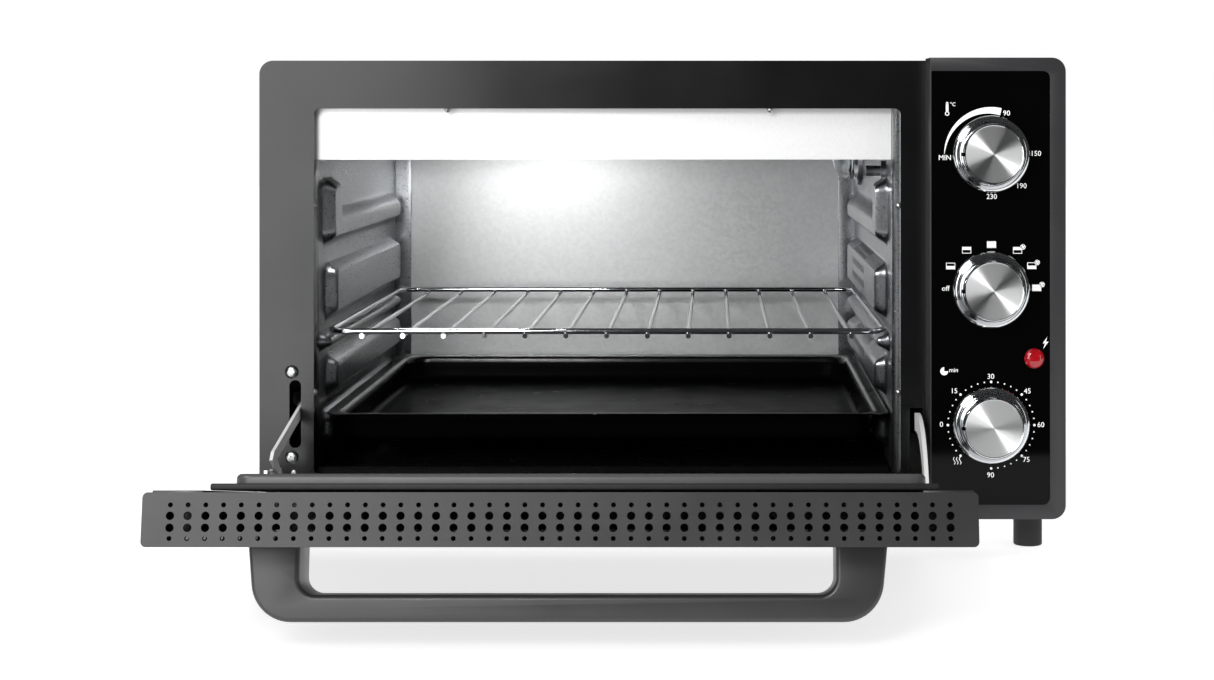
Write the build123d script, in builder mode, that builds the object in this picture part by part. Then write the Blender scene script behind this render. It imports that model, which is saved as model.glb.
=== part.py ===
"""Countertop toaster oven, shown with its door down, as an assembly of separate parts.

X runs to the right as the user faces the oven, Y runs into the oven and Z runs up.
The origin is on the counter, under the centre of the whole object's box, door included.
Every depth below is given from the front frame's face, and front_y moves it into place.
"""

import math
import os

from build123d import *

# ---- driving dimensions, millimetres ----
body_half = 235.0
body_top = 288.4
body_bottom = 24.0
body_depth = 365.0
sheet = 1.0
frame_sheet = 1.2
corner_r = 8.0

open_x0, open_x1 = -203.0, 142.4
open_z0, open_z1 = 45.0, 260.2
open_corner_r = 3.5

cavity_x0, cavity_x1 = -204.3, 137.8
cavity_z0, cavity_z1 = 45.2, 262.0
cavity_back = 335.0

guide_out = 8.0
tray_guide_z = 78.4
rack_guide_z = 126.0
upper_guide_z = 176.0

hinge_depth = -11.5
hinge_z = 27.7
door_tilt = 10.3
door_x0, door_x1 = -234.5, 155.9
door_reach = 258.0
door_tail = 5.0
door_inner = 8.0
door_outer = -17.0
hinge_pin_r = 2.0

handle_centre = -37.35
handle_width = 305.7
handle_out = 36.7
handle_bar = 12.7
handle_leg = 24.9
handle_far, handle_near = 202.0, 231.0

panel_x0, panel_x1 = 157.0, 235.0
panel_z0, panel_z1 = 23.8, 289.5
panel_out = 28.5
knob_x = 192.0
knob_heights = {"temperature": 234.0, "function": 156.0, "timer": 78.0}
knob_r = 22.25
knob_cap_r = 17.9
knob_face_r = 16.9
knob_out = 15.0
shaft_r = 3.0
neon_x, neon_z, neon_r = 216.8, 116.4, 5.5

rack_width, rack_depth = 334.2, 305.0
rack_front = 10.0
rack_rim_r = 1.75
rack_wire_r = 1.5
rack_wires = 13
rack_pitch = 24.2

tray_width, tray_depth = 335.0, 312.0
tray_front = 10.0
tray_flange = 16.0
tray_deep = 17.0
tray_sheet = 0.8

foot_r = 8.5
spacer_out = 20.0

cavity_mid = (cavity_x0 + cavity_x1) / 2
# the rack and the tray stand a little right of the cavity's middle
shelf_mid = cavity_mid + 2.15
open_mid = (open_x0 + open_x1) / 2
tilt = math.radians(door_tilt)

# The box runs from the open door's outer top edge to the rear spacers.
door_front = hinge_depth - door_reach * math.cos(tilt) + door_outer * math.sin(tilt)
rear_end = body_depth + sheet + spacer_out
front_y = -(door_front + rear_end) / 2

# The door's own plane: x as the oven's, y back towards the hinge, z out of the inner face.
door_plane = Plane(
    origin=(0, front_y + hinge_depth, hinge_z),
    x_dir=(1, 0, 0),
    z_dir=(0, math.sin(tilt), math.cos(tilt)),
)


def block(x0, x1, y0, y1, z0, z1, mode=Mode.ADD):
    """A block between two corners, with its depth from the front frame's face."""
    centre = ((x0 + x1) / 2, front_y + (y0 + y1) / 2, (z0 + z1) / 2)
    with Locations(centre):
        Box(x1 - x0, y1 - y0, z1 - z0, mode=mode)


def slab(x0, x1, y0, y1, z0, z1, mode=Mode.ADD):
    """A block in the door's own plane."""
    with Locations(((x0 + x1) / 2, (y0 + y1) / 2, (z0 + z1) / 2)):
        Box(x1 - x0, y1 - y0, z1 - z0, mode=mode)


def rod(x, y, z, radius, length, axis, mode=Mode.ADD):
    """A round bar that starts at a point and runs along X, Y or Z."""
    turn = {"X": (0, 90, 0), "Y": (-90, 0, 0), "Z": (0, 0, 0)}[axis]
    low = (Align.CENTER, Align.CENTER, Align.MIN)
    with Locations(Location((x, front_y + y, z), turn)):
        Cylinder(radius, length, align=low, mode=mode)


def facing(y):
    """A sketch plane parallel to the oven's front, at a depth, looking into the oven."""
    return Plane(origin=(0, front_y + y, 0), x_dir=(1, 0, 0), z_dir=(0, -1, 0))


def side_plane(x):
    """A sketch plane parallel to the oven's sides: its x is depth and its y is height."""
    return Plane(origin=(x, front_y, 0), x_dir=(0, 1, 0), z_dir=(1, 0, 0))


def keep(builder, name):
    """Label a finished part and write it to its own file."""
    builder.part.label = name
    export_step(builder.part, f"parts/{name}.step")


os.makedirs("parts", exist_ok=True)

# ---- outer case ----
wrap_front, wrap_back = frame_sheet, body_depth
with BuildPart() as outer_wrap:
    with BuildSketch(facing(wrap_back)):
        with Locations((0, (body_bottom + body_top) / 2)):
            RectangleRounded(2 * body_half, body_top - body_bottom, corner_r)
        offset(amount=-sheet, mode=Mode.SUBTRACT)
        with Locations((0, body_bottom)):
            Rectangle(2 * body_half + sheet, 2 * corner_r, mode=Mode.SUBTRACT)
    extrude(amount=wrap_back - wrap_front)
    # cooling slots in the right and left sides, level with the controls and the fan
    with BuildSketch(Plane.YZ.offset(-body_half - sheet)):
        with Locations((front_y + 250, 235)):
            with GridLocations(11, 0, 12, 1):
                SlotOverall(26, 3.2, rotation=90)
    extrude(amount=2 * body_half + 2 * sheet, mode=Mode.SUBTRACT)
    with BuildSketch(Plane.YZ.offset(body_half - 3 * sheet)):
        with Locations((front_y + 190, 128)):
            with GridLocations(11, 36, 14, 3):
                SlotOverall(26, 3.2, rotation=90)
    extrude(amount=5 * sheet, mode=Mode.SUBTRACT)
keep(outer_wrap, "outer_wrap")

pan_z0, pan_z1 = body_bottom, body_bottom + sheet
pan_half = body_half - sheet - 0.2
pan_flange = 15.0
arm_slot_x0, arm_slot_x1 = 147.8, 155.3
ear_left_x0, ear_left_x1 = -215.5, -212.5
ear_right_x0, ear_right_x1 = 141.5, 144.5
ear_room = 0.8
foot_places = [(x, y) for x in (-220.0, 220.0) for y in (20.0, 335.0)]
with BuildPart() as base_pan:
    block(-pan_half, pan_half, wrap_front, wrap_back, pan_z0, pan_z1)
    for side in (-1, 1):
        inner = side * (pan_half - sheet)
        outer = side * pan_half
        block(min(inner, outer), max(inner, outer), 40, wrap_back, pan_z1, pan_z1 + pan_flange)
    # the hinge ears and the door's right arm need room at the front edge
    block(arm_slot_x0 - 1.8, arm_slot_x1 + 1.8, 0, 55, pan_z0, pan_z1, Mode.SUBTRACT)
    for x0, x1 in ((ear_left_x0, ear_left_x1), (ear_right_x0, ear_right_x1)):
        block(x0 - 1, x1 + 1, 0, 30, pan_z0, pan_z1, Mode.SUBTRACT)
    with BuildSketch(Plane.XY.offset(pan_z0)):
        with Locations((cavity_mid, front_y + 185)):
            with GridLocations(30, 60, 8, 4):
                SlotOverall(40, 4, rotation=90)
    extrude(amount=sheet, mode=Mode.SUBTRACT)
    for x, y in foot_places:
        rod(x, y, pan_z0, 2.1, sheet, "Z", Mode.SUBTRACT)
keep(base_pan, "base_pan")

gland_x, gland_z, gland_r = 150.0, 55.0, 6.0
with BuildPart() as back_panel:
    with BuildSketch(facing(body_depth + sheet)):
        with Locations((0, (body_bottom + body_top) / 2)):
            RectangleRounded(2 * body_half, body_top - body_bottom, corner_r)
        with Locations((-60, 160)):
            with GridLocations(16, 44, 14, 4):
                SlotOverall(34, 4, rotation=90, mode=Mode.SUBTRACT)
        with Locations((192, 175)):
            with GridLocations(13, 38, 4, 4):
                SlotOverall(30, 4, rotation=90, mode=Mode.SUBTRACT)
        with Locations((gland_x, gland_z)):
            Circle(gland_r, mode=Mode.SUBTRACT)
    extrude(amount=sheet)
keep(back_panel, "back_panel")

spacer_places = [(-185.0, 250.0), (185.0, 250.0)]
with BuildPart() as rear_spacers:
    for x, z in spacer_places:
        rod(x, body_depth + sheet, z, 9.0, spacer_out - 3.0, "Y")
        rod(x, body_depth + sheet + spacer_out - 3.0, z, 12.0, 3.0, "Y")
keep(rear_spacers, "rear_spacers")

with BuildPart() as cord_gland:
    rod(gland_x, body_depth - 5, gland_z, gland_r - 0.1, 6 + sheet, "Y")
    rod(gland_x, body_depth + sheet, gland_z, 8.5, 3.0, "Y")
    rod(gland_x, body_depth + sheet + 3, gland_z, 5.6, 12.0, "Y")
    rod(gland_x, body_depth - 5, gland_z, 3.5, 30.0, "Y", Mode.SUBTRACT)
keep(cord_gland, "cord_gland")

case_screw_places = [(x, z) for x in (-222.0, 222.0) for z in (45.0, 155.0, 270.0)]
with BuildPart() as case_screws:
    for x, z in case_screw_places:
        rod(x, body_depth + sheet, z, 3.4, 1.8, "Y")
keep(case_screws, "case_screws")

with BuildPart() as feet:
    for x, y in foot_places:
        rod(x, y, 0, foot_r, body_bottom, "Z")
        rod(x, y, body_bottom, 2.0, 4.0, "Z")
keep(feet, "feet")

# ---- front frame, with its opening, hinge slots and screws ----
link_slot_x0, link_slot_x1 = -217.35, -210.45
link_slot_z0, link_slot_z1 = 60.4, 100.4
with BuildPart() as front_frame:
    with BuildSketch(facing(frame_sheet)):
        with Locations((0, (body_bottom + body_top) / 2)):
            RectangleRounded(2 * body_half, body_top - body_bottom, corner_r)
        with Locations((open_mid, (open_z0 + open_z1) / 2)):
            RectangleRounded(
                open_x1 - open_x0, open_z1 - open_z0, open_corner_r, mode=Mode.SUBTRACT
            )
        with Locations(((link_slot_x0 + link_slot_x1) / 2, (link_slot_z0 + link_slot_z1) / 2)):
            SlotOverall(
                link_slot_z1 - link_slot_z0,
                link_slot_x1 - link_slot_x0,
                rotation=90,
                mode=Mode.SUBTRACT,
            )
    extrude(amount=frame_sheet)
    block(arm_slot_x0, arm_slot_x1, 0, frame_sheet, body_bottom, 84.0, Mode.SUBTRACT)
    for x0, x1 in ((ear_left_x0, ear_left_x1), (ear_right_x0, ear_right_x1)):
        block(x0 - 1, x1 + 1, 0, frame_sheet, body_bottom, 38.0, Mode.SUBTRACT)
    for z in knob_heights.values():
        rod(knob_x, 0, z, 5.0, frame_sheet, "Y", Mode.SUBTRACT)
    rod(neon_x, 0, neon_z, 7.0, frame_sheet, "Y", Mode.SUBTRACT)
keep(front_frame, "front_frame")

# small bent tabs of the cavity sheet that grip the edge of the opening
tab_out, tab_long, tab_deep = 0.9, 8.0, 6.0
with BuildPart() as frame_tabs:
    for z in (93.0, 203.0):
        block(open_x0, open_x0 + tab_out, 0.2, tab_deep, z - tab_long / 2, z + tab_long / 2)
        block(open_x1 - tab_out, open_x1, 0.2, tab_deep, z - tab_long / 2, z + tab_long / 2)
    for x in (-124.5, 65.5):
        block(x - tab_long / 2, x + tab_long / 2, 0.2, tab_deep, open_z1 - tab_out, open_z1)
keep(frame_tabs, "frame_tabs")

hinge_screw_places = [(-215.7, 104.6), (-215.7, 54.6), (-214.5, 46.0)]
with BuildPart() as hinge_screws:
    for x, z in hinge_screw_places:
        rod(x, -0.9, z, 3.15, 0.9, "Y")
keep(hinge_screws, "hinge_screws")

# ---- cavity: walls, top, back and floor as separate sheets ----
wall_y0, wall_y1 = frame_sheet, cavity_back
heater_y = (110.0, 235.0)
upper_heater_z, lower_heater_z = 246.0, 55.0
heater_r = 3.25
heater_hole_r = 3.7
heater_places = [(y, z) for z in (upper_heater_z, lower_heater_z) for y in heater_y]


def guide(x_wall, inward, z_top, y0, y1, drop=4.5):
    """A pressed guide rib on a side wall: a trapezoid section run along the wall."""
    reach = inward * guide_out
    with BuildSketch(facing(y1)) as section:
        with BuildLine():
            Polyline(
                (x_wall, z_top),
                (x_wall + reach, z_top),
                (x_wall + reach, z_top - drop + 2.0),
                (x_wall, z_top - drop - 3.0),
                close=True,
            )
        make_face()
    extrude(section.sketch, amount=y1 - y0)


guide_y0, guide_y1 = 12.0, 322.0
with BuildPart() as cavity_left_wall:
    block(cavity_x0 - sheet, cavity_x0, wall_y0, wall_y1, cavity_z0, cavity_z1)
    for z in (tray_guide_z, rack_guide_z, upper_guide_z):
        guide(cavity_x0, 1, z, guide_y0, guide_y1)
    guide(cavity_x0, 1, 202.0, 100, guide_y1)
    for y, z in heater_places:
        rod(cavity_x0 - sheet, y, z, heater_hole_r, sheet, "X", Mode.SUBTRACT)
keep(cavity_left_wall, "cavity_left_wall")

lamp_y, lamp_z, lamp_r = 278.0, 228.0, 22.5
fan_y, fan_z = 196.5, 128.0
vent_pitch, vent_r = 9.6, 2.8
thermo_y, thermo_z = 57.0, 222.0
with BuildPart() as cavity_right_wall:
    block(cavity_x1, cavity_x1 + sheet, wall_y0, wall_y1, cavity_z0, cavity_z1)
    for z in (tray_guide_z, rack_guide_z, upper_guide_z):
        guide(cavity_x1, -1, z, guide_y0, guide_y1)
    guide(cavity_x1, -1, 202.0, 100, 240)
    for y, z in heater_places:
        rod(cavity_x1, y, z, heater_hole_r, sheet, "X", Mode.SUBTRACT)
    rod(cavity_x1, lamp_y, lamp_z, 17.0, sheet, "X", Mode.SUBTRACT)
    rod(cavity_x1, thermo_y, thermo_z, 3.4, sheet, "X", Mode.SUBTRACT)
    with BuildSketch(side_plane(cavity_x1)):
        with Locations((fan_y, fan_z + 26.5)):
            with GridLocations(vent_pitch, vent_pitch, 12, 3):
                Circle(vent_r)
        with Locations((fan_y, fan_z - 27.5)):
            with GridLocations(vent_pitch, vent_pitch, 12, 3):
                Circle(vent_r)
    extrude(amount=sheet, mode=Mode.SUBTRACT)
keep(cavity_right_wall, "cavity_right_wall")

with BuildPart() as cavity_top:
    block(cavity_x0 - sheet, cavity_x1 + sheet, wall_y0, wall_y1, cavity_z1, cavity_z1 + sheet)
keep(cavity_top, "cavity_top")

with BuildPart() as cavity_back_wall:
    block(
        cavity_x0 - sheet,
        cavity_x1 + sheet,
        cavity_back,
        cavity_back + sheet,
        cavity_z0 - sheet,
        cavity_z1 + sheet,
    )
keep(cavity_back_wall, "cavity_back_wall")

with BuildPart() as cavity_floor:
    block(cavity_x0 - sheet, cavity_x1 + sheet, wall_y0, wall_y1, cavity_z0 - sheet, cavity_z0)
keep(cavity_floor, "cavity_floor")

crumb_lip = 3.0
with BuildPart() as crumb_tray:
    crumb_x0, crumb_x1 = cavity_x0 + 2, cavity_x1 - 2
    block(crumb_x0, crumb_x1, 8, 325, cavity_z0, cavity_z0 + tray_sheet)
    for y in (8.0, 325.0 - tray_sheet):
        block(crumb_x0, crumb_x1, y, y + tray_sheet, cavity_z0, cavity_z0 + crumb_lip)
    for x in (crumb_x0, crumb_x1 - tray_sheet):
        block(x, x + tray_sheet, 8, 325, cavity_z0, cavity_z0 + crumb_lip)
keep(crumb_tray, "crumb_tray")

# the bright baffle hangs from the cavity top just behind the opening
baffle_y0, baffle_z0 = 9.0, 230.0
with BuildPart() as baffle:
    block(cavity_x0 + 0.3, cavity_x1 - 0.3, baffle_y0, baffle_y0 + sheet, baffle_z0, cavity_z1)
    block(cavity_x0 + 0.3, cavity_x1 - 0.3, baffle_y0, baffle_y0 + 14, baffle_z0, baffle_z0 + sheet)
    block(
        cavity_x0 + 0.3, cavity_x1 - 0.3, baffle_y0, baffle_y0 + 18, cavity_z1 - sheet, cavity_z1
    )
keep(baffle, "baffle")

# ---- heaters, ceramic ends, temperature probe and lamp ----
heater_past = 22.0
heater_x0, heater_x1 = cavity_x0 - heater_past, cavity_x1 + heater_past - 6.0


def heater_pair(z):
    """Two straight sheathed heating rods across the cavity."""
    for y in heater_y:
        rod(heater_x0, y, z, heater_r, heater_x1 - heater_x0, "X")


with BuildPart() as upper_heaters:
    heater_pair(upper_heater_z)
keep(upper_heaters, "upper_heaters")

with BuildPart() as lower_heaters:
    heater_pair(lower_heater_z)
keep(lower_heaters, "lower_heaters")

ceramic_long, ceramic_r = 9.0, 6.5
with BuildPart() as heater_ceramics:
    for y, z in heater_places:
        for x in (cavity_x0 - sheet - ceramic_long, cavity_x1 + sheet):
            rod(x, y, z, ceramic_r, ceramic_long, "X")
            rod(x, y, z, heater_r + 0.1, ceramic_long, "X", Mode.SUBTRACT)
keep(heater_ceramics, "heater_ceramics")

with BuildPart() as temperature_probe:
    rod(cavity_x1 - 12, thermo_y, thermo_z, 3.2, 30, "X")
    rod(cavity_x1 - 3, thermo_y, thermo_z, 6.0, 3, "X")
keep(temperature_probe, "temperature_probe")

dome_out = 21.0
glass_wall, glass_r, glass_round = 2.0, 18.5, 13.5
with BuildPart() as lamp_glass:
    rod(cavity_x1 - dome_out, lamp_y, lamp_z, glass_r, dome_out - 3.0, "X")
    fillet(lamp_glass.edges().filter_by(GeomType.CIRCLE).sort_by(Axis.X)[0], radius=glass_round)
    offset(amount=-glass_wall, openings=lamp_glass.faces().sort_by(Axis.X)[-1])
keep(lamp_glass, "lamp_glass")

with BuildPart() as lamp_ring:
    rod(cavity_x1 - 3.0, lamp_y, lamp_z, lamp_r, 3.0, "X")
    rod(cavity_x1 - 3.0, lamp_y, lamp_z, 16.0, 3.0, "X", Mode.SUBTRACT)
keep(lamp_ring, "lamp_ring")

socket_x0 = cavity_x1 + sheet
with BuildPart() as lamp_socket:
    rod(socket_x0, lamp_y, lamp_z, 21.0, 4.0, "X")
    rod(socket_x0 + 4, lamp_y, lamp_z, 13.0, 30.0, "X")
    rod(socket_x0, lamp_y, lamp_z, 9.2, 26.0, "X", Mode.SUBTRACT)
keep(lamp_socket, "lamp_socket")

with BuildPart() as lamp_bulb:
    rod(socket_x0 + 4, lamp_y, lamp_z, 7.0, 22.0, "X")
    rod(cavity_x1 - 6, lamp_y, lamp_z, 8.8, 11.0, "X")
    fillet(lamp_bulb.edges().filter_by(GeomType.CIRCLE).sort_by(Axis.X)[0], radius=4.0)
keep(lamp_bulb, "lamp_bulb")

# ---- convection fan behind the right wall ----
fan_disc_x = 152.0
with BuildPart() as fan_impeller:
    rod(fan_disc_x, fan_y, fan_z, 44.0, 1.0, "X")
    rod(fan_disc_x - 6, fan_y, fan_z, 7.0, 14.0, "X")
    with Locations(Plane(origin=(fan_disc_x, front_y + fan_y, fan_z), z_dir=(-1, 0, 0))):
        with PolarLocations(33, 12):
            Box(20, 1, 9, align=(Align.CENTER, Align.CENTER, Align.MIN))
    rod(fan_disc_x - 8, fan_y, fan_z, 2.5, 20.0, "X", Mode.SUBTRACT)
keep(fan_impeller, "fan_impeller")

with BuildPart() as fan_shaft:
    rod(fan_disc_x - 7, fan_y, fan_z, 2.5, 43.0, "X")
keep(fan_shaft, "fan_shaft")

motor_x0 = 168.0
with BuildPart() as fan_motor:
    block(motor_x0, motor_x0 + 30, fan_y - 26, fan_y + 26, fan_z - 24, fan_z + 24)
    rod(motor_x0 - 4, fan_y, fan_z, 9.0, 4.0, "X")
    rod(motor_x0 - 4, fan_y, fan_z, 2.56, 25.0, "X", Mode.SUBTRACT)
    block(motor_x0 - 29, motor_x0, fan_y - 60, fan_y - 58.5, fan_z - 8, fan_z + 8)
    block(motor_x0 - 29, motor_x0, fan_y + 58.5, fan_y + 60, fan_z - 8, fan_z + 8)
    block(motor_x0 - 1.5, motor_x0, fan_y - 60, fan_y - 20, fan_z - 8, fan_z + 8)
    block(motor_x0 - 1.5, motor_x0, fan_y + 20, fan_y + 60, fan_z - 8, fan_z + 8)
keep(fan_motor, "fan_motor")

with BuildPart() as terminal_block:
    block(175, 215, body_depth - 60, body_depth - 40, 30, 48)
    block(170, 220, body_depth - 64, body_depth - 36, pan_z1, 30)
keep(terminal_block, "terminal_block")

# ---- control panel ----
panel_wall = 2.5
plate_x0, plate_x1 = 157.7, 225.9
plate_z0, plate_z1 = 32.2, 281.8
plate_thick = 1.5
plate_corner = 4.0
fascia_depth = -panel_out
panel_mid_z = (panel_z0 + panel_z1) / 2
with BuildPart() as control_bezel:
    with BuildSketch(facing(0)):
        with Locations(((panel_x0 + panel_x1) / 2, panel_mid_z)):
            Rectangle(panel_x1 - panel_x0, panel_z1 - panel_z0)
    extrude(amount=panel_out)
    right_edges = control_bezel.edges().filter_by(Axis.Y).group_by(Axis.X)[-1]
    fillet(right_edges, radius=corner_r)
    block(
        panel_x0 + panel_wall,
        panel_x1 - panel_wall,
        -panel_out + panel_wall + plate_thick,
        0,
        panel_z0 + panel_wall,
        panel_z1 - panel_wall,
        Mode.SUBTRACT,
    )
    with BuildSketch(facing(-panel_out + plate_thick)):
        with Locations(((plate_x0 + plate_x1) / 2, (plate_z0 + plate_z1) / 2)):
            Rectangle(plate_x1 - plate_x0, plate_z1 - plate_z0)
        fillet(vertices().group_by(Axis.X)[-1], radius=plate_corner)
    extrude(amount=plate_thick, mode=Mode.SUBTRACT)
    for z in knob_heights.values():
        rod(knob_x, -panel_out, z, 5.0, panel_out, "Y", Mode.SUBTRACT)
    rod(neon_x, -panel_out, neon_z, neon_r - 1.0, panel_out, "Y", Mode.SUBTRACT)
keep(control_bezel, "control_bezel")

with BuildPart() as fascia_plate:
    block(
        plate_x0 + 0.1,
        plate_x1 - 0.1,
        fascia_depth,
        fascia_depth + plate_thick,
        plate_z0 + 0.1,
        plate_z1 - 0.1,
    )
    fillet(fascia_plate.edges().filter_by(Axis.Y).group_by(Axis.X)[-1], radius=plate_corner)
    for z in knob_heights.values():
        rod(knob_x, fascia_depth, z, 5.0, plate_thick, "Y", Mode.SUBTRACT)
    rod(neon_x, fascia_depth, neon_z, neon_r - 1.0, plate_thick, "Y", Mode.SUBTRACT)
keep(fascia_plate, "fascia_plate")

with BuildPart() as neon_lens:
    rod(neon_x, fascia_depth - 1.2, neon_z, neon_r, 1.2, "Y")
    rod(neon_x, fascia_depth - 2.6, neon_z, neon_r - 1.4, 1.4, "Y")
    rod(neon_x, fascia_depth, neon_z, neon_r - 1.2, 10.0, "Y")
keep(neon_lens, "neon_lens")

with BuildPart() as neon_holder:
    rod(neon_x, fascia_depth + 10, neon_z, 4.5, 22.0, "Y")
keep(neon_holder, "neon_holder")

# ---- switch bodies behind the panel, each bored for its shaft ----
shaft_front = -panel_out - knob_out + 6.0
shaft_back = 8.0
shaft_room = 0.05


def switch_body(z, half_wide, half_high, y0, y1, collar_r):
    """A switch case with a threaded collar around its shaft bore."""
    block(knob_x - half_wide, knob_x + half_wide, y0, y1, z - half_high, z + half_high)
    rod(knob_x, y0 - 10, z, collar_r, 10, "Y")
    rod(knob_x, y0 - 10, z, shaft_r + shaft_room, shaft_back - y0 + 10.5, "Y", Mode.SUBTRACT)


with BuildPart() as thermostat:
    switch_body(knob_heights["temperature"], 19, 19, frame_sheet, 26, 4.8)
keep(thermostat, "thermostat")

with BuildPart() as function_switch:
    switch_body(knob_heights["function"], 17, 21, frame_sheet, 30, 4.8)
keep(function_switch, "function_switch")

with BuildPart() as timer_movement:
    switch_body(knob_heights["timer"], 22, 24, frame_sheet, 38, 4.8)
keep(timer_movement, "timer_movement")

# ---- knobs and their shafts ----
for name, z in knob_heights.items():
    with BuildPart() as knob:
        with BuildSketch(Plane(origin=(knob_x, front_y, z), x_dir=(1, 0, 0), z_dir=(0, 0, 1))):
            base_y = -panel_out - 0.4
            face_y = -panel_out - knob_out
            with BuildLine():
                Polyline(
                    (0, face_y),
                    (knob_face_r, face_y),
                    (knob_cap_r, base_y - 4.0),
                    (knob_r - 1.5, base_y - 3.4),
                    (knob_r, base_y - 1.8),
                    (knob_r, base_y),
                    (0, base_y),
                    close=True,
                )
            make_face()
        revolve(axis=Axis((knob_x, front_y, z), (0, 1, 0)))
        rod(knob_x, shaft_front, z, shaft_r, 30, "Y", Mode.SUBTRACT)
        rod(knob_x, base_y - 3.0, z, 6.0, 4.0, "Y", Mode.SUBTRACT)
    keep(knob, f"{name}_knob")

    with BuildPart() as shaft:
        rod(knob_x, shaft_front, z, shaft_r, shaft_back - shaft_front, "Y")
    keep(shaft, f"{name}_shaft")

# ---- wire rack and baking tray ----
rack_z = rack_guide_z + 0.2 + rack_rim_r
rack_corner = 14.0
with BuildPart() as wire_rack:
    rim_plane = Plane(origin=(shelf_mid, front_y + rack_front + rack_depth / 2, rack_z))
    rim_wide, rim_deep = rack_width - 2 * rack_rim_r, rack_depth - 2 * rack_rim_r
    with BuildSketch(rim_plane, mode=Mode.PRIVATE) as rim:
        RectangleRounded(rim_wide, rim_deep, rack_corner)
    rim_path = rim.sketch.faces()[0].outer_wire()
    with BuildSketch(Plane(origin=rim_path @ 0, z_dir=rim_path % 0)):
        Circle(rack_rim_r)
    sweep(path=rim_path)
    for n in range(rack_wires):
        x = shelf_mid + (n - (rack_wires - 1) / 2) * rack_pitch
        wire_z = rack_z - rack_rim_r - rack_wire_r + 0.6
        rod(x, rack_front - 0.6, wire_z, rack_wire_r, rack_depth + 0.6, "Y")
keep(wire_rack, "wire_rack")

tray_z = tray_guide_z + 0.2 + tray_sheet
tray_y_mid = tray_front + tray_depth / 2
with BuildPart() as baking_tray:
    with BuildSketch(Plane(origin=(shelf_mid, front_y + tray_y_mid, tray_z - tray_deep))):
        RectangleRounded(tray_width - 2 * tray_flange - 6, tray_depth - 2 * tray_flange - 6, 16)
    with BuildSketch(Plane(origin=(shelf_mid, front_y + tray_y_mid, tray_z))):
        RectangleRounded(tray_width - 2 * tray_flange, tray_depth - 2 * tray_flange, 18)
    loft()
    with BuildSketch(Plane(origin=(shelf_mid, front_y + tray_y_mid, tray_z))):
        RectangleRounded(tray_width, tray_depth, 8)
    extrude(amount=-tray_sheet)
    with BuildSketch(
        Plane(origin=(shelf_mid, front_y + tray_y_mid, tray_z - tray_deep + tray_sheet))
    ):
        RectangleRounded(tray_width - 2 * tray_flange - 7.6, tray_depth - 2 * tray_flange - 7.6, 15)
    with BuildSketch(Plane(origin=(shelf_mid, front_y + tray_y_mid, tray_z))):
        RectangleRounded(tray_width - 2 * tray_flange - 1.6, tray_depth - 2 * tray_flange - 1.6, 17)
    loft(mode=Mode.SUBTRACT)
keep(baking_tray, "baking_tray")

# ---- hinge: fixed ears, pins, the right arm, the left link and its spring ----
spring_y0, spring_y1 = 17.0, 181.0
spring_z = 84.0
spring_r, spring_hole_r = 5.0, 3.6
ear_half = 5.2
ear_back = 22.0
pin_room = 0.05


def ear(x0, x1, fix_x0, fix_x1):
    """A fixed hinge ear with its mounting flange behind the front frame."""
    block(x0, x1, hinge_depth, ear_back, hinge_z - 2.6, hinge_z + ear_half)
    rod(x0, hinge_depth, hinge_z, ear_half, x1 - x0, "X")
    block(fix_x0, fix_x1, frame_sheet, frame_sheet + 2, hinge_z - 2.6, hinge_z + 15)
    rod(x0 - 1, hinge_depth, hinge_z, hinge_pin_r + pin_room, x1 - x0 + 2, "X", Mode.SUBTRACT)


with BuildPart() as left_hinge_bracket:
    ear(ear_left_x0, ear_left_x1, -230.0, ear_left_x1)
    block(-230.0, -228.4, frame_sheet, 60, hinge_z - 2.6, 112)
    # a strip runs back to the spring's anchor
    block(-230.0, -228.4, 60, spring_y1 + 1.5, spring_z - 8, spring_z + 8)
    block(-230.0, -212.0, spring_y1, spring_y1 + 1.5, spring_z - 8, spring_z + 8)
    block(-230.0, link_slot_x0 - 0.4, frame_sheet, frame_sheet + 2, 44, 112)
keep(left_hinge_bracket, "left_hinge_bracket")

with BuildPart() as right_hinge_bracket:
    ear(ear_right_x0, ear_right_x1, ear_right_x0 - 12, ear_right_x1)
keep(right_hinge_bracket, "right_hinge_bracket")

# ---- door, built in its own tilted plane ----
door_mid = (door_x0 + door_x1) / 2
channel = 24.0
channel_wall = 2.0
glass_thick = 4.0
glass_top = door_outer + glass_thick
trim_deep = 18.0
frame_far = -(door_reach - trim_deep)
pocket_y0, pocket_y1 = -84.0, -57.0
pocket_floor = -1.5
pocket_room = 0.4
arm_x0, arm_x1 = 150.6, 153.0
link_x0, link_x1 = -212.9, -211.1
link_pin_y, link_pin_z = -50.0, 18.0
lug_x0, lug_x1 = -216.6, -214.8
lug_r = 5.0
lug_far, lug_high = -69.0, 20.0
notch_deep = -9.0

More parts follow.
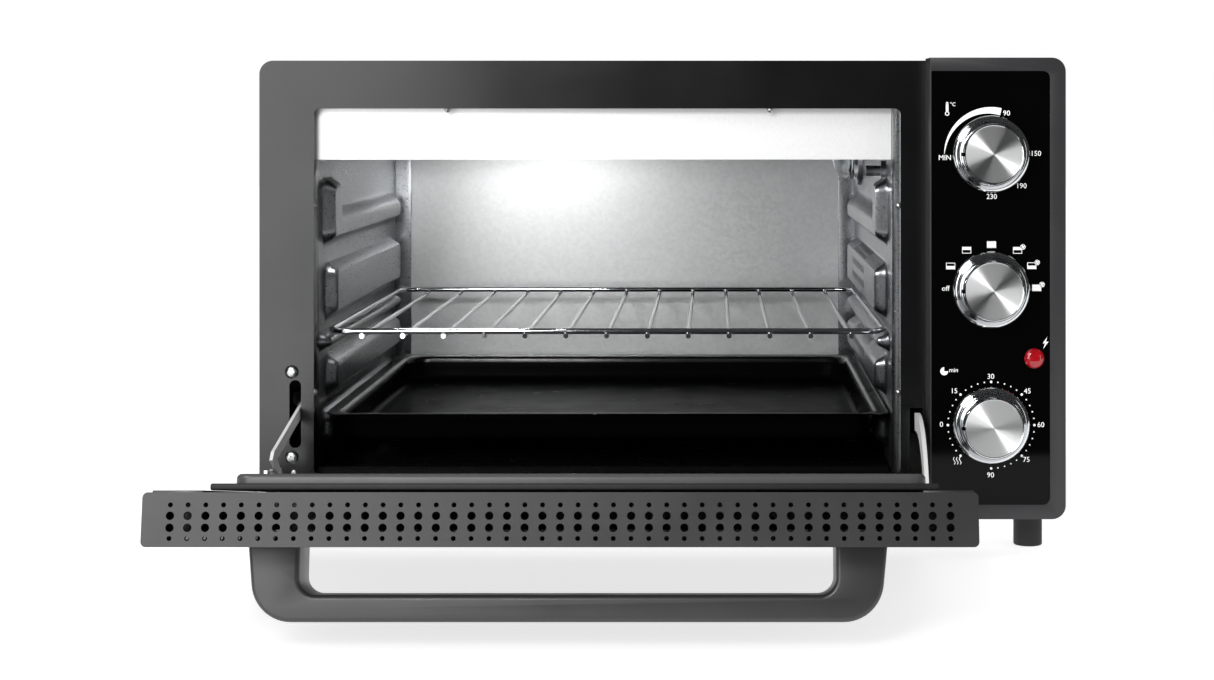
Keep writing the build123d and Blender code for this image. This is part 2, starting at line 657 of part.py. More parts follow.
with BuildPart(door_plane) as door_frame:
    slab(door_x0, door_x1, frame_far, door_tail, glass_top + 0.1, door_inner)
    slab(
        door_x0 + channel,
        door_x1 - channel,
        frame_far,
        door_tail - channel,
        glass_top,
        door_inner,
        Mode.SUBTRACT,
    )
    # the channel is hollow from the glass side, between the hinge blocks and the top trim
    for x0, x1 in ((door_x0, door_x0 + channel), (door_x1 - channel, door_x1)):
        slab(
            x0 + channel_wall,
            x1 - channel_wall,
            frame_far + channel_wall,
            pocket_y0 - 6,
            glass_top,
            door_inner - channel_wall,
            Mode.SUBTRACT,
        )
    # link pocket on the left, ear notches and pin bores at the hinge
    slab(
        link_slot_x0 - pocket_room,
        link_slot_x1 + pocket_room,
        pocket_y0,
        pocket_y1,
        pocket_floor,
        door_inner,
        Mode.SUBTRACT,
    )
    for x0, x1 in ((ear_left_x0, ear_left_x1), (ear_right_x0, ear_right_x1)):
        slab(x0 - ear_room, x1 + ear_room, notch_deep, door_tail, glass_top, door_inner, Mode.SUBTRACT)
        with Locations(Location((x0 - 8, 0, 0), (0, 90, 0))):
            Cylinder(
                hinge_pin_r + 0.02,
                x1 - x0 + 16,
                align=(Align.CENTER, Align.CENTER, Align.MIN),
                mode=Mode.SUBTRACT,
            )
    # the right arm's foot sits in a slit in the inner face
    slab(arm_x0, arm_x1, -60, -34, 2, door_inner, Mode.SUBTRACT)
keep(door_frame, "door_frame")

with BuildPart(door_plane) as hinge_pins:
    for x0, x1 in ((ear_left_x0, ear_left_x1), (ear_right_x0, ear_right_x1)):
        with Locations(Location((x0 - 7.5, 0, 0), (0, 90, 0))):
            Cylinder(hinge_pin_r, x1 - x0 + 15, align=(Align.CENTER, Align.CENTER, Align.MIN))
keep(hinge_pins, "hinge_pins")

# a steel lug on the inner face carries the left link's pin
with BuildPart(door_plane) as link_lug:
    slab(lug_x0, lug_x1, lug_far, link_pin_y + lug_r, door_inner, link_pin_z)
    slab(lug_x0, lug_x1, lug_far, link_pin_y, link_pin_z, lug_high)
    slab(lug_x0 - 8, lug_x1, lug_far, link_pin_y + lug_r, door_inner, door_inner + 1)
    with Locations(Location((lug_x0, link_pin_y, link_pin_z), (0, 90, 0))):
        Cylinder(lug_r, lug_x1 - lug_x0, align=(Align.CENTER, Align.CENTER, Align.MIN))
        Cylinder(
            1.5,
            lug_x1 - lug_x0,
            align=(Align.CENTER, Align.CENTER, Align.MIN),
            mode=Mode.SUBTRACT,
        )
keep(link_lug, "link_lug")

with BuildPart(door_plane) as link_pin:
    with Locations(Location((lug_x0, link_pin_y, link_pin_z), (0, 90, 0))):
        Cylinder(1.5, link_x1 - lug_x0 + 0.4, align=(Align.CENTER, Align.CENTER, Align.MIN))
keep(link_pin, "link_pin")

with BuildPart(door_plane) as door_outer_glass:
    with BuildSketch(door_plane.offset(door_outer)):
        with Locations((door_mid, (frame_far + door_tail) / 2)):
            Rectangle(door_x1 - door_x0 - 1, door_tail - frame_far - 0.4)
    extrude(amount=glass_thick)
keep(door_outer_glass, "door_outer_glass")

# the top trim is a channel whose end face carries four rows of round vent holes
vent_columns, vent_column_pitch = 45, 8.27
vent_rows = ((6.8, 1.15), (11.8, 1.95), (17.3, 1.95), (22.2, 1.15))
trim_wall = 2.5
trim_outer, trim_inner = door_outer - 1.2, door_inner - 1.0
end_plane = Plane(
    origin=(0, front_y + hinge_depth - door_reach * math.cos(tilt), hinge_z + door_reach * math.sin(tilt)),
    x_dir=(1, 0, 0),
    z_dir=(0, -math.cos(tilt), math.sin(tilt)),
)
with BuildPart(door_plane) as door_top_trim:
    slab(door_x0, door_x1, -door_reach, frame_far - 0.1, trim_outer, trim_inner)
    trim_sides = door_top_trim.edges().filter_by(Axis(door_plane.origin, door_plane.y_dir))
    fillet(trim_sides, radius=2.5)
    slab(
        door_x0 + trim_wall,
        door_x1 - trim_wall,
        -door_reach + trim_wall,
        frame_far,
        trim_outer + trim_wall,
        trim_inner - trim_wall,
        Mode.SUBTRACT,
    )
    with BuildSketch(end_plane):
        for from_inner, radius in vent_rows:
            with Locations((door_mid, door_inner - from_inner)):
                with GridLocations(vent_column_pitch, 0, vent_columns, 1):
                    Circle(radius)
    extrude(amount=-trim_wall, mode=Mode.SUBTRACT)
keep(door_top_trim, "door_top_trim")

# the raised inner frame enters the opening and holds the inner glass
inner_x0, inner_x1 = -198.8, 135.0
inner_y0, inner_y1 = -228.0, -21.0
inner_high = 8.0
inner_ring = 20.0
lip = 1.5
with BuildPart(door_plane) as door_inner_frame:
    inner_mid = ((inner_x0 + inner_x1) / 2, (inner_y0 + inner_y1) / 2)
    with BuildSketch(door_plane.offset(door_inner)):
        with Locations(inner_mid):
            RectangleRounded(inner_x1 - inner_x0, inner_y1 - inner_y0, 8)
    extrude(amount=inner_high)
    chamfer(door_inner_frame.edges().group_by(Axis(door_plane.origin, door_plane.z_dir))[-1], lip)
    slab(
        inner_x0 + inner_ring,
        inner_x1 - inner_ring,
        inner_y0 + inner_ring,
        inner_y1 - inner_ring,
        door_inner,
        door_inner + inner_high,
        Mode.SUBTRACT,
    )
    slab(
        inner_x0 + inner_ring - 6,
        inner_x1 - inner_ring + 6,
        inner_y0 + inner_ring - 6,
        inner_y1 - inner_ring + 6,
        door_inner,
        door_inner + inner_high - lip,
        Mode.SUBTRACT,
    )
keep(door_inner_frame, "door_inner_frame")

with BuildPart(door_plane) as door_inner_glass:
    slab(
        inner_x0 + inner_ring - 5.5,
        inner_x1 - inner_ring + 5.5,
        inner_y0 + inner_ring - 5.5,
        inner_y1 - inner_ring + 5.5,
        door_inner + inner_high - lip - 4.1,
        door_inner + inner_high - lip - 0.1,
    )
keep(door_inner_glass, "door_inner_glass")

gasket_x0, gasket_x1 = -207.8, 140.0
with BuildPart(door_plane) as door_gasket:
    slab(gasket_x0, gasket_x1, -237.5, -11.5, door_inner, door_inner + 3.3)
    slab(
        inner_x0 - 0.2,
        inner_x1 + 0.2,
        inner_y0 - 0.2,
        inner_y1 + 0.2,
        door_inner,
        door_inner + 3.3,
        Mode.SUBTRACT,
    )
keep(door_gasket, "door_gasket")

# handle: a U-shaped loop standing on the outer glass
splay = 4.0
handle_foot = door_outer
handle_end = handle_foot - handle_out
outer_round, inner_round = 19.5, 8.0
with BuildPart(door_plane) as door_handle:
    handle_plane = Plane(
        origin=door_plane.from_local_coords(Vector(handle_centre, -handle_near, 0)),
        x_dir=(1, 0, 0),
        z_dir=(0, -math.cos(tilt), math.sin(tilt)),
    )
    with BuildSketch(handle_plane):
        half = handle_width / 2
        with BuildLine():
            Polyline(
                (-half, handle_foot),
                (-half + splay, handle_end),
                (half - splay, handle_end),
                (half, handle_foot),
                close=True,
            )
        make_face()
        fillet(vertices().sort_by(Axis.Y)[:2], radius=outer_round)
        with BuildLine():
            Polyline(
                (-half + handle_leg, handle_foot),
                (-half + handle_leg, handle_end + handle_bar),
                (half - handle_leg, handle_end + handle_bar),
                (half - handle_leg, handle_foot),
                close=True,
            )
        make_face(mode=Mode.SUBTRACT)
        inner_end = handle_end + handle_bar
        fillet([v for v in vertices() if abs(v.Y - inner_end) < 0.01], radius=inner_round)
    extrude(amount=-(handle_near - handle_far))
keep(door_handle, "door_handle")

# two screws run from inside the door through the outer glass into the handle's legs
with BuildPart(door_plane) as handle_screws:
    for side in (-1, 1):
        x = handle_centre + side * (handle_width / 2 - handle_leg / 2)
        with Locations((x, -(handle_near + handle_far) / 2, glass_top)):
            Cylinder(4.0, 2.4, align=(Align.CENTER, Align.CENTER, Align.MIN))
keep(handle_screws, "handle_screws")

# the right arm is a flat quadrant that follows the hinge circle through the frame's slot
arm_outer, arm_inner = 54.5, 44.0
arm_first, arm_last = 76.5, 163.0
with BuildPart() as right_door_arm:
    hinge_at = (front_y + hinge_depth, hinge_z)
    with BuildSketch(Plane(origin=(arm_x0, *hinge_at), x_dir=(0, 1, 0), z_dir=(1, 0, 0))):
        with BuildLine():
            outer_arc = CenterArc((0, 0), arm_outer, arm_first, arm_last - arm_first)
            inner_arc = CenterArc((0, 0), arm_inner, arm_first, arm_last - arm_first)
            Line(outer_arc @ 0, inner_arc @ 0)
            Line(outer_arc @ 1, inner_arc @ 1)
        make_face()
    extrude(amount=arm_x1 - arm_x0)
keep(right_door_arm, "right_door_arm")

# the left link: a flat steel arm through the frame's slot, bent down at the door to its pin
link_drop_y, link_drop_z = -75.0, 70.0
link_mouth_z = 84.0
link_high = 7.0
link_past = 15.0
link_rise = math.atan2(link_mouth_z - link_drop_z, -link_drop_y)
link_long = math.hypot(link_mouth_z - link_drop_z, link_drop_y) + link_past
pin_at = door_plane.from_local_coords(Vector(link_x0, link_pin_y, link_pin_z))
pin_y, pin_z = pin_at.Y - front_y, pin_at.Z


def along_link(distance, below):
    """A point on the link: so far from its bend, and so far under its upper edge."""
    return (
        link_drop_y + distance * math.cos(link_rise) + below * math.sin(link_rise),
        link_drop_z + distance * math.sin(link_rise) - below * math.cos(link_rise),
    )


with BuildPart() as left_spring_link:
    with BuildSketch(side_plane(link_x0)):
        with BuildLine():
            Polyline(
                along_link(0, 0),
                along_link(link_long, 0),
                along_link(link_long, link_high),
                along_link(8, link_high),
                (pin_y + 4, pin_z),
                (pin_y - 4, pin_z),
                (link_drop_y - 5, link_drop_z - 4),
                close=True,
            )
        make_face()
        with Locations((pin_y, pin_z)):
            Circle(4)
            Circle(1.55, mode=Mode.SUBTRACT)
        with Locations(along_link(link_long - 4, link_high / 2)):
            Circle(1.2, mode=Mode.SUBTRACT)
    extrude(amount=link_x1 - link_x0)
keep(left_spring_link, "left_spring_link")

# the coil spring pulls the link's inner end towards its anchor at the back of the case
with BuildPart() as door_spring:
    rod(-218.5, spring_y0, spring_z, spring_r, spring_y1 - spring_y0, "Y")
    rod(-218.5, spring_y0, spring_z, spring_hole_r, spring_y1 - spring_y0, "Y", Mode.SUBTRACT)
keep(door_spring, "door_spring")
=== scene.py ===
"""Looks of the countertop toaster oven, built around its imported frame.

Lengths are metres unless a name ends in _mm. Each piece is made where it stands, rides on a
named body, and its material is named for what the real part is made of.
"""

import math

import bpy
import bmesh
import numpy as np
from mathutils import Matrix, Vector


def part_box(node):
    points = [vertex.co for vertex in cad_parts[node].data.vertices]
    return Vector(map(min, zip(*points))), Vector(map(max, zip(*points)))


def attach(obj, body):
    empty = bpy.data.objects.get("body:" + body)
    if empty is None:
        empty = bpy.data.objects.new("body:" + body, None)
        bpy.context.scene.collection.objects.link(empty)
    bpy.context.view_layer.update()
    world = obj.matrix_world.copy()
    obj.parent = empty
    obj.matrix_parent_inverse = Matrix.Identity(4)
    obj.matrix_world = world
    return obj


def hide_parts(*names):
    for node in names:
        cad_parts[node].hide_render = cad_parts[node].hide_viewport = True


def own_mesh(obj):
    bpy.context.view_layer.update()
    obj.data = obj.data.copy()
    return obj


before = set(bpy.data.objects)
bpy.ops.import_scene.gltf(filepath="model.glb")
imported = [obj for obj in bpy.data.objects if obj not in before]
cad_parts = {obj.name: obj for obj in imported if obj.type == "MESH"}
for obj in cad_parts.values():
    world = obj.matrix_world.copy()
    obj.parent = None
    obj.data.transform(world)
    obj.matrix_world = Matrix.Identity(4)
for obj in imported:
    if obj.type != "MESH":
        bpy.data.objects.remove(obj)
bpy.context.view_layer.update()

MM = 0.001
# turned faces: tool marks over the radius that one step of their UV map spans, in metres
GROOVES = 48
TURNED_SPAN = 0.05


# ---------------------------------------------------------------- colours and node helpers


def linear(hex_colour):
    """An sRGB hex colour as linear red, green, blue and alpha."""
    parts = [int(hex_colour[i : i + 2], 16) / 255 for i in (1, 3, 5)]
    bright = [c / 12.92 if c <= 0.04045 else ((c + 0.055) / 1.055) ** 2.4 for c in parts]
    return (*bright, 1.0)


def add(tree, kind, settings=None, links=None, **values):
    """One node, with its settings, its input values and the sockets that feed it."""
    made = tree.nodes.new(kind)
    for key, value in (settings or {}).items():
        setattr(made, key, value)
    for key, value in values.items():
        made.inputs[key.replace("_", " ")].default_value = value
    for key, source in (links or {}).items():
        tree.links.new(source, made.inputs[key])
    return made


def surface(name, hex_colour, roughness, metallic=0.0, **values):
    """A Principled material and its tree, shader and object coordinates."""
    material = bpy.data.materials.new(name)
    material.use_nodes = True
    tree = material.node_tree
    shader = tree.nodes["Principled BSDF"]
    shader.inputs["Base Color"].default_value = linear(hex_colour)
    shader.inputs["Roughness"].default_value = roughness
    shader.inputs["Metallic"].default_value = metallic
    for key, value in values.items():
        shader.inputs[key.replace("_", " ")].default_value = value
    place = add(tree, "ShaderNodeTexCoord").outputs["Object"]
    return material, tree, shader, place


def noise(tree, place, size_mm, detail=3.0, stretch=(1, 1, 1), rough=0.55):
    """Noise whose grains are about size_mm across, optionally stretched along an axis."""
    mapped = add(tree, "ShaderNodeMapping", links={"Vector": place})
    mapped.inputs["Scale"].default_value = tuple(1 / (size_mm * MM * s) for s in stretch)
    made = add(tree, "ShaderNodeTexNoise", links={"Vector": mapped.outputs[0]})
    made.inputs["Scale"].default_value = 1.0
    made.inputs["Detail"].default_value = detail
    made.inputs["Roughness"].default_value = rough
    return made.outputs["Fac"]


def spread(tree, value, low, high, from_low=0.3, from_high=0.7):
    """A 0 to 1 pattern remapped to a range."""
    made = add(tree, "ShaderNodeMapRange", links={"Value": value})
    made.inputs["From Min"].default_value = from_low
    made.inputs["From Max"].default_value = from_high
    made.inputs["To Min"].default_value = low
    made.inputs["To Max"].default_value = high
    return made.outputs["Result"]


def between(tree, factor, hex_low, hex_high):
    """A colour that runs between two hex colours."""
    made = add(tree, "ShaderNodeMix", {"data_type": "RGBA"}, {"Factor": factor})
    made.inputs[6].default_value = linear(hex_low)
    made.inputs[7].default_value = linear(hex_high)
    return made.outputs[2]


def raised(tree, shader, height, depth_mm, strength=1.0):
    """A bump of a real depth into a shader's normal."""
    made = add(tree, "ShaderNodeBump", links={"Height": height})
    made.inputs["Distance"].default_value = depth_mm * MM
    made.inputs["Strength"].default_value = strength
    tree.links.new(made.outputs["Normal"], shader.inputs["Normal"])


def feed(tree, shader, **sources):
    """Joins sockets to a shader's inputs by name."""
    for key, source in sources.items():
        tree.links.new(source, shader.inputs[key.replace("_", " ")])


# ---------------------------------------------------------------- materials


def satin_black_enamel():
    """Stove enamel on sheet steel: near black, satin, with a faint orange peel."""
    m, t, s, p = surface("satin black enamel", "#080808", 0.22)
    feed(t, s, Roughness=spread(t, noise(t, p, 40, 2), 0.2, 0.25))
    raised(t, s, noise(t, p, 1.6, 2), 0.006)
    return m


def galvanised_steel():
    """Hot-dip galvanised sheet: bright grey metal with soft spangle and fine rolling grain."""
    m, t, s, p = surface("galvanised steel sheet", "#c3c5c6", 0.34, 0.6)
    cells = add(t, "ShaderNodeTexVoronoi", links={"Vector": p}, Scale=1 / (2.2 * MM))
    grain = noise(t, p, 0.7, 3)
    spangle = add(t, "ShaderNodeSeparateColor", links={"Color": cells.outputs["Color"]})
    mixed = add(t, "ShaderNodeMath", {"operation": "ADD"}, {0: spangle.outputs[0], 1: grain})
    half = add(t, "ShaderNodeMath", {"operation": "MULTIPLY"}, {0: mixed.outputs[0]})
    half.inputs[1].default_value = 0.5
    feed(t, s, Base_Color=between(t, half.outputs[0], "#c6c7c7", "#d6d7d7"))
    feed(t, s, Roughness=spread(t, half.outputs[0], 0.32, 0.4))
    raised(t, s, grain, 0.004)
    return m


def galvanised_painted_shade():
    """The pressed side walls: the same sheet in a darker tone, which is painted shade."""
    m, t, s, p = surface("drawn galvanised sheet", "#9fa1a2", 0.25, 1.0)
    grain = noise(t, p, 1.2, 3, (1, 2.5, 1))
    feed(t, s, Base_Color=between(t, grain, "#7d7f82", "#9b9d9f"))
    feed(t, s, Roughness=spread(t, grain, 0.26, 0.34))
    raised(t, s, grain, 0.003)
    return m


def galvanised_painted_light():
    """The same sheet, paler and more even, nearly white; the paler tone is painted light."""
    m, t, s, p = surface("bright galvanised sheet", "#e8e8e8", 0.42, 0.45)
    grain = noise(t, p, 1.0, 4, (1, 1, 2.5))
    feed(t, s, Base_Color=between(t, grain, "#e4e4e4", "#f6f6f6"))
    raised(t, s, grain, 0.004)
    return m


def vitreous_enamel():
    """Black glass enamel fired on steel: deep, wet gloss over a slightly wavy sheet."""
    m, t, s, p = surface("black vitreous enamel", "#0b0b0c", 0.3)
    s.inputs["Specular IOR Level"].default_value = 0.1
    feed(t, s, Roughness=spread(t, noise(t, p, 25, 3), 0.22, 0.3))
    raised(t, s, noise(t, p, 9, 2), 0.02)
    return m


def tray_enamel():
    """The same enamel on the tray, its floor kept nearly free of sheen and its rolled rim glossy."""
    m, t, s, p = surface("black tray enamel", "#050506", 0.26)
    height = add(t, "ShaderNodeSeparateXYZ", links={"Vector": p}).outputs["Z"]
    rim_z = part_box("baking_tray")[1].z
    rim = spread(t, height, 0.004, 0.5, rim_z - 5 * MM, rim_z - 1 * MM)
    t.links.new(rim, s.inputs["Specular IOR Level"])
    feed(t, s, Roughness=spread(t, noise(t, p, 25, 3), 0.2, 0.28))
    raised(t, s, noise(t, p, 30, 2), 0.01)
    return m


def moulded_abs(name, hex_colour, roughness):
    """Fine-textured moulded ABS, which spreads its highlights softly."""
    m, t, s, p = surface(name, hex_colour, roughness)
    feed(t, s, Roughness=spread(t, noise(t, p, 30, 2), roughness - 0.04, roughness + 0.05))
    raised(t, s, noise(t, p, 0.45, 2), 0.02)
    return m


def gloss_panel():
    """Back-printed polished acrylic sheet, black as ink with sharp reflections."""
    m, t, s, p = surface("polished black acrylic", "#030303", 0.06, IOR=1.49)
    s.inputs["Specular IOR Level"].default_value = 0.12
    feed(t, s, Roughness=spread(t, noise(t, p, 60, 2), 0.04, 0.08))
    return m


def white_ink():
    """Screen-printed white ink."""
    m, t, s, p = surface("white screen ink", "#f4f4f2", 0.5)
    feed(t, s, Base_Color=between(t, noise(t, p, 0.8, 2), "#ececea", "#ffffff"))
    return m


def spun_aluminium():
    """Lathe-turned aluminium: concentric tool marks pull each highlight into a radial fan."""
    m, t, s, p = surface("spun aluminium", "#e9eaea", 0.34, 1.0, Anisotropic=1.0, Anisotropic_Rotation=0.25)
    uv = add(t, "ShaderNodeUVMap", {"uv_map": "turned"}).outputs[0]
    across = add(t, "ShaderNodeSeparateXYZ", links={"Vector": uv}).outputs["Y"]
    ring = add(t, "ShaderNodeMath", {"operation": "MULTIPLY"}, {0: across})
    ring.inputs[1].default_value = math.tau * GROOVES
    wave = add(t, "ShaderNodeMath", {"operation": "SINE"}, {0: ring.outputs[0]})
    raised(t, s, wave.outputs[0], 0.004, 0.5)
    turn = add(t, "ShaderNodeTangent", {"direction_type": "UV_MAP", "uv_map": "turned"})
    t.links.new(turn.outputs[0], s.inputs["Tangent"])
    return m


def chrome():
    """Bright chrome plate over a polished base."""
    m, t, s, p = surface("chrome plate", "#d9dbdd", 0.07, 1.0)
    feed(t, s, Roughness=spread(t, noise(t, p, 12, 2), 0.05, 0.12))
    return m


def bare_steel():
    """Cold-rolled steel strip, lightly brushed."""
    m, t, s, p = surface("cold rolled steel", "#b9bbbc", 0.3, 1.0)
    grain = noise(t, p, 0.6, 3, (1, 12, 1))
    feed(t, s, Roughness=spread(t, grain, 0.24, 0.4))
    feed(t, s, Base_Color=between(t, grain, "#a6a8a9", "#d2d4d5"))
    return m


def oxidised_sheath():
    """Stainless heater sheath, browned and dulled by heat."""
    m, t, s, p = surface("oxidised stainless sheath", "#6d6760", 0.45, 1.0)
    feed(t, s, Base_Color=between(t, noise(t, p, 18, 3), "#57504a", "#85807a"))
    return m


def steatite():
    """Unglazed white steatite ceramic."""
    m, t, s, p = surface("steatite ceramic", "#ddd8cb", 0.55)
    feed(t, s, Base_Color=between(t, noise(t, p, 3, 3), "#d2ccbd", "#e6e2d6"))
    return m


def phenolic():
    """Dark phenolic moulding of the switch cases and motor."""
    return moulded_abs("phenolic moulding", "#2b2724", 0.5)


def clear_glass():
    """Thick pressed borosilicate."""
    m, t, s, p = surface("borosilicate glass", "#f4f7f7", 0.04, Transmission_Weight=1.0, IOR=1.47)
    raised(t, s, noise(t, p, 6, 2), 0.05)
    return m


def smoked_glass():
    """Tempered door glass with a dark body tint."""
    m, t, s, p = surface("smoked tempered glass", "#16181a", 0.04, IOR=1.5, Coat_Weight=0.3)
    feed(t, s, Roughness=spread(t, noise(t, p, 50, 2), 0.03, 0.07))
    return m


def red_lens():
    """Translucent red polycarbonate."""
    m, t, s, p = surface("red polycarbonate", "#8c0812", 0.08, Coat_Weight=0.6)
    feed(t, s, Base_Color=between(t, noise(t, p, 2.5, 1), "#7c0610", "#a80c18"))
    raised(t, s, noise(t, p, 1.5, 1), 0.02)
    return m


def black_rubber():
    """Moulded rubber and silicone, dull and faintly dusty."""
    m, t, s, p = surface("moulded black rubber", "#161617", 0.62)
    feed(t, s, Base_Color=between(t, noise(t, p, 5, 4), "#121213", "#1e1e1f"))
    raised(t, s, noise(t, p, 0.7, 2), 0.03)
    return m


FINISH = {
    "enamel": satin_black_enamel(),
    "galvanised": galvanised_steel(),
    "pressed": galvanised_painted_shade(),
    "bright": galvanised_painted_light(),
    "vitreous": vitreous_enamel(),
    "tray": tray_enamel(),
    # the door's inner steps: a lighter copy of the graphite door moulding, whose lighter tone is painted
    # light
    "ledge_painted_light": moulded_abs("graphite door moulding", "#444445", 0.36),
    "bezel": moulded_abs("graphite moulded ABS", "#28282a", 0.4),
    "handle": moulded_abs("black moulded phenolic handle", "#2c2c2d", 0.34),
    "door": moulded_abs("graphite stove enamel", "#29292a", 0.36),
    "gloss": gloss_panel(),
    "ink": white_ink(),
    "spun": spun_aluminium(),
    "chrome": chrome(),
    "steel": bare_steel(),
    "sheath": oxidised_sheath(),
    "ceramic": steatite(),
    "phenolic": phenolic(),
    "clear": clear_glass(),
    "smoked": smoked_glass(),
    "red": red_lens(),
    "rubber": black_rubber(),
}

# ---------------------------------------------------------------- mesh helpers


def mesh_object(name, vertices, faces, finish, smooth=True):
    """A new object at the origin from vertices and faces in metres."""
    mesh = bpy.data.meshes.new(name)
    mesh.from_pydata([tuple(map(float, v)) for v in vertices], [], faces)
    mesh.validate()
    mesh.materials.append(FINISH[finish])
    made = bpy.data.objects.new(name, mesh)
    bpy.context.scene.collection.objects.link(made)
    outward(made)
    if smooth:
        shade(made)
    return made


def outward(piece):
    """Merges doubled points and turns every face outwards."""
    work = bmesh.new()
    work.from_mesh(piece.data)
    bmesh.ops.remove_doubles(work, verts=work.verts, dist=1e-6)
    bmesh.ops.recalc_face_normals(work, faces=work.faces)
    work.to_mesh(piece.data)
    work.free()


def shade(piece, angle=35):
    """Smooth shading that stays sharp at edges over an angle in degrees."""
    for polygon in piece.data.polygons:
        polygon.use_smooth = True
    piece.data.set_sharp_from_angle(angle=math.radians(angle))


def place(piece, body, slot, *nodes):
    """Rides a finished piece on its body and hides the CAD nodes it stands for; the slot is not used."""
    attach(piece, body)
    if nodes:
        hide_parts(*nodes)
    return piece


def applied(piece):
    """A piece with its modifiers turned into plain mesh and then removed."""
    graph = bpy.context.evaluated_depsgraph_get()
    graph.update()
    mesh = bpy.data.meshes.new_from_object(piece.evaluated_get(graph))
    mesh.name = piece.name
    piece.modifiers.clear()
    piece.data = mesh
    return piece


def softened(node, finish, width_mm=0.8, segments=3, name=None):
    """A copy of a CAD node with its sharp edges rounded over, which stands for the node."""
    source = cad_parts[node]
    made = bpy.data.objects.new(name or f"{node}_piece", source.data.copy())
    bpy.context.scene.collection.objects.link(made)
    made.data.materials.clear()
    made.data.materials.append(FINISH[finish])
    work = bmesh.new()
    work.from_mesh(made.data)
    bmesh.ops.remove_doubles(work, verts=work.verts, dist=2e-6)
    bmesh.ops.dissolve_limit(
        work, angle_limit=math.radians(1.0), verts=work.verts, edges=work.edges
    )
    work.to_mesh(made.data)
    work.free()
    bevel = made.modifiers.new("rounding", "BEVEL")
    bevel.width = width_mm * MM
    bevel.segments = segments
    bevel.limit_method = "ANGLE"
    bevel.angle_limit = math.radians(38)
    bevel.harden_normals = False
    applied(made)
    shade(made, 50)
    return made


def paint(finish, *nodes):
    """Gives carried-over CAD nodes their material."""
    for node in nodes:
        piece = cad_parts[node]
        piece.data.materials.clear()
        piece.data.materials.append(FINISH[finish])
        shade(piece)


def lathe(profile, centre, axis, segments=96):
    """Vertices and faces of a profile of (along, radius) turned about an axis through a point."""
    axis = Vector(axis).normalized()
    side = axis.orthogonal().normalized()
    other = axis.cross(side)
    vertices, faces = [], []
    for along, radius in profile:
        for k in range(segments):
            a = math.tau * k / segments
            spoke = side * math.cos(a) + other * math.sin(a)
            vertices.append(Vector(centre) + axis * along + spoke * radius)
    for i in range(len(profile) - 1):
        for k in range(segments):
            n = (k + 1) % segments
            faces.append(
                (i * segments + k, i * segments + n, (i + 1) * segments + n, (i + 1) * segments + k)
            )
    return vertices, faces


def rounded_loop(half_x, half_y, corner, z, centre, steps=8):
    """Points of a rounded rectangle in a level plane."""
    points = []
    for quarter, (sx, sy) in enumerate(((1, 1), (-1, 1), (-1, -1), (1, -1))):
        for k in range(steps + 1):
            a = math.pi / 2 * (quarter + k / steps)
            x = sx * (half_x - corner) + corner * math.cos(a)
            y = sy * (half_y - corner) + corner * math.sin(a)
            points.append((centre[0] + x, centre[1] + y, z))
    return points


def skin(loops, closed_ends=(False, False)):
    """Vertices and faces that join equal loops in order."""
    count = len(loops[0])
    vertices = [p for loop in loops for p in loop]
    faces = []
    for i in range(len(loops) - 1):
        for k in range(count):
            n = (k + 1) % count
            faces.append((i * count + k, i * count + n, (i + 1) * count + n, (i + 1) * count + k))
    if closed_ends[0]:
        faces.append(tuple(range(count)))
    if closed_ends[1]:
        faces.append(tuple((len(loops) - 1) * count + k for k in range(count)))
    return vertices, faces

# ---------------------------------------------------------------- CAD nodes that keep their shape

paint("enamel", "outer_wrap", "front_frame", "cavity_top")
paint("galvanised", "base_pan", "back_panel", "frame_tabs", "cavity_back_wall")
# the side walls, lamp socket and probe take the darker copy of the galvanised sheet, whose darker tone is
# painted shade
paint("pressed", "cavity_left_wall", "cavity_right_wall", "lamp_socket", "temperature_probe")
# the baffle takes the paler copy of the galvanised sheet, whose paler tone is painted light
paint("bright", "baffle")
paint("vitreous", "cavity_floor", "crumb_tray")
paint("tray", "baking_tray")
paint("phenolic", "rear_spacers", "cord_gland", "neon_holder", "thermostat", "function_switch")
paint("phenolic", "timer_movement", "terminal_block", "door_inner_frame")
paint("steel", "case_screws", "hinge_screws", "handle_screws", "fan_impeller", "fan_shaft")
paint("steel", "fan_motor", "temperature_shaft", "function_shaft", "timer_shaft")
paint("steel", "left_hinge_bracket", "right_hinge_bracket", "hinge_pins", "link_lug", "link_pin")
# the door arms take the paler copy of the galvanised sheet, whose paler tone is painted light
paint("bright", "right_door_arm", "left_spring_link")
paint("steel", "door_spring", "lamp_ring")
paint("sheath", "upper_heaters", "lower_heaters")
paint("ceramic", "heater_ceramics")
paint("clear", "lamp_glass", "lamp_bulb")
paint("bezel", "control_bezel")
paint("gloss", "fascia_plate")
paint("red", "neon_lens")
paint("spun", "temperature_knob", "function_knob", "timer_knob")
paint("chrome", "wire_rack")
paint("door", "door_frame", "door_top_trim")
paint("smoked", "door_outer_glass", "door_inner_glass")
paint("rubber", "feet", "door_gasket")
paint("handle", "door_handle")

# ---------------------------------------------------------------- control knobs


def turned_uv(piece, centre, axis):
    """A UV map of turn angle against radius, whose seams never cross a face."""
    axis = Vector(axis).normalized()
    side = axis.orthogonal().normalized()
    other = axis.cross(side)
    layer = piece.data.uv_layers.new(name="turned")
    mesh = piece.data
    for polygon in mesh.polygons:
        spoke = polygon.center - centre
        middle = math.atan2(spoke.dot(other), spoke.dot(side))
        for loop in polygon.loop_indices:
            spoke = mesh.vertices[mesh.loops[loop].vertex_index].co - centre
            flat = Vector((spoke.dot(side), spoke.dot(other)))
            angle = math.atan2(flat.y, flat.x) if flat.length > 1e-7 else middle
            angle += math.tau * round((middle - angle) / math.tau)
            layer.data[loop].uv = (angle / math.tau, flat.length / TURNED_SPAN)


def profile_mm(*points):
    """A lathe profile in millimetres as metres."""
    return [(a * MM, r * MM) for a, r in points]


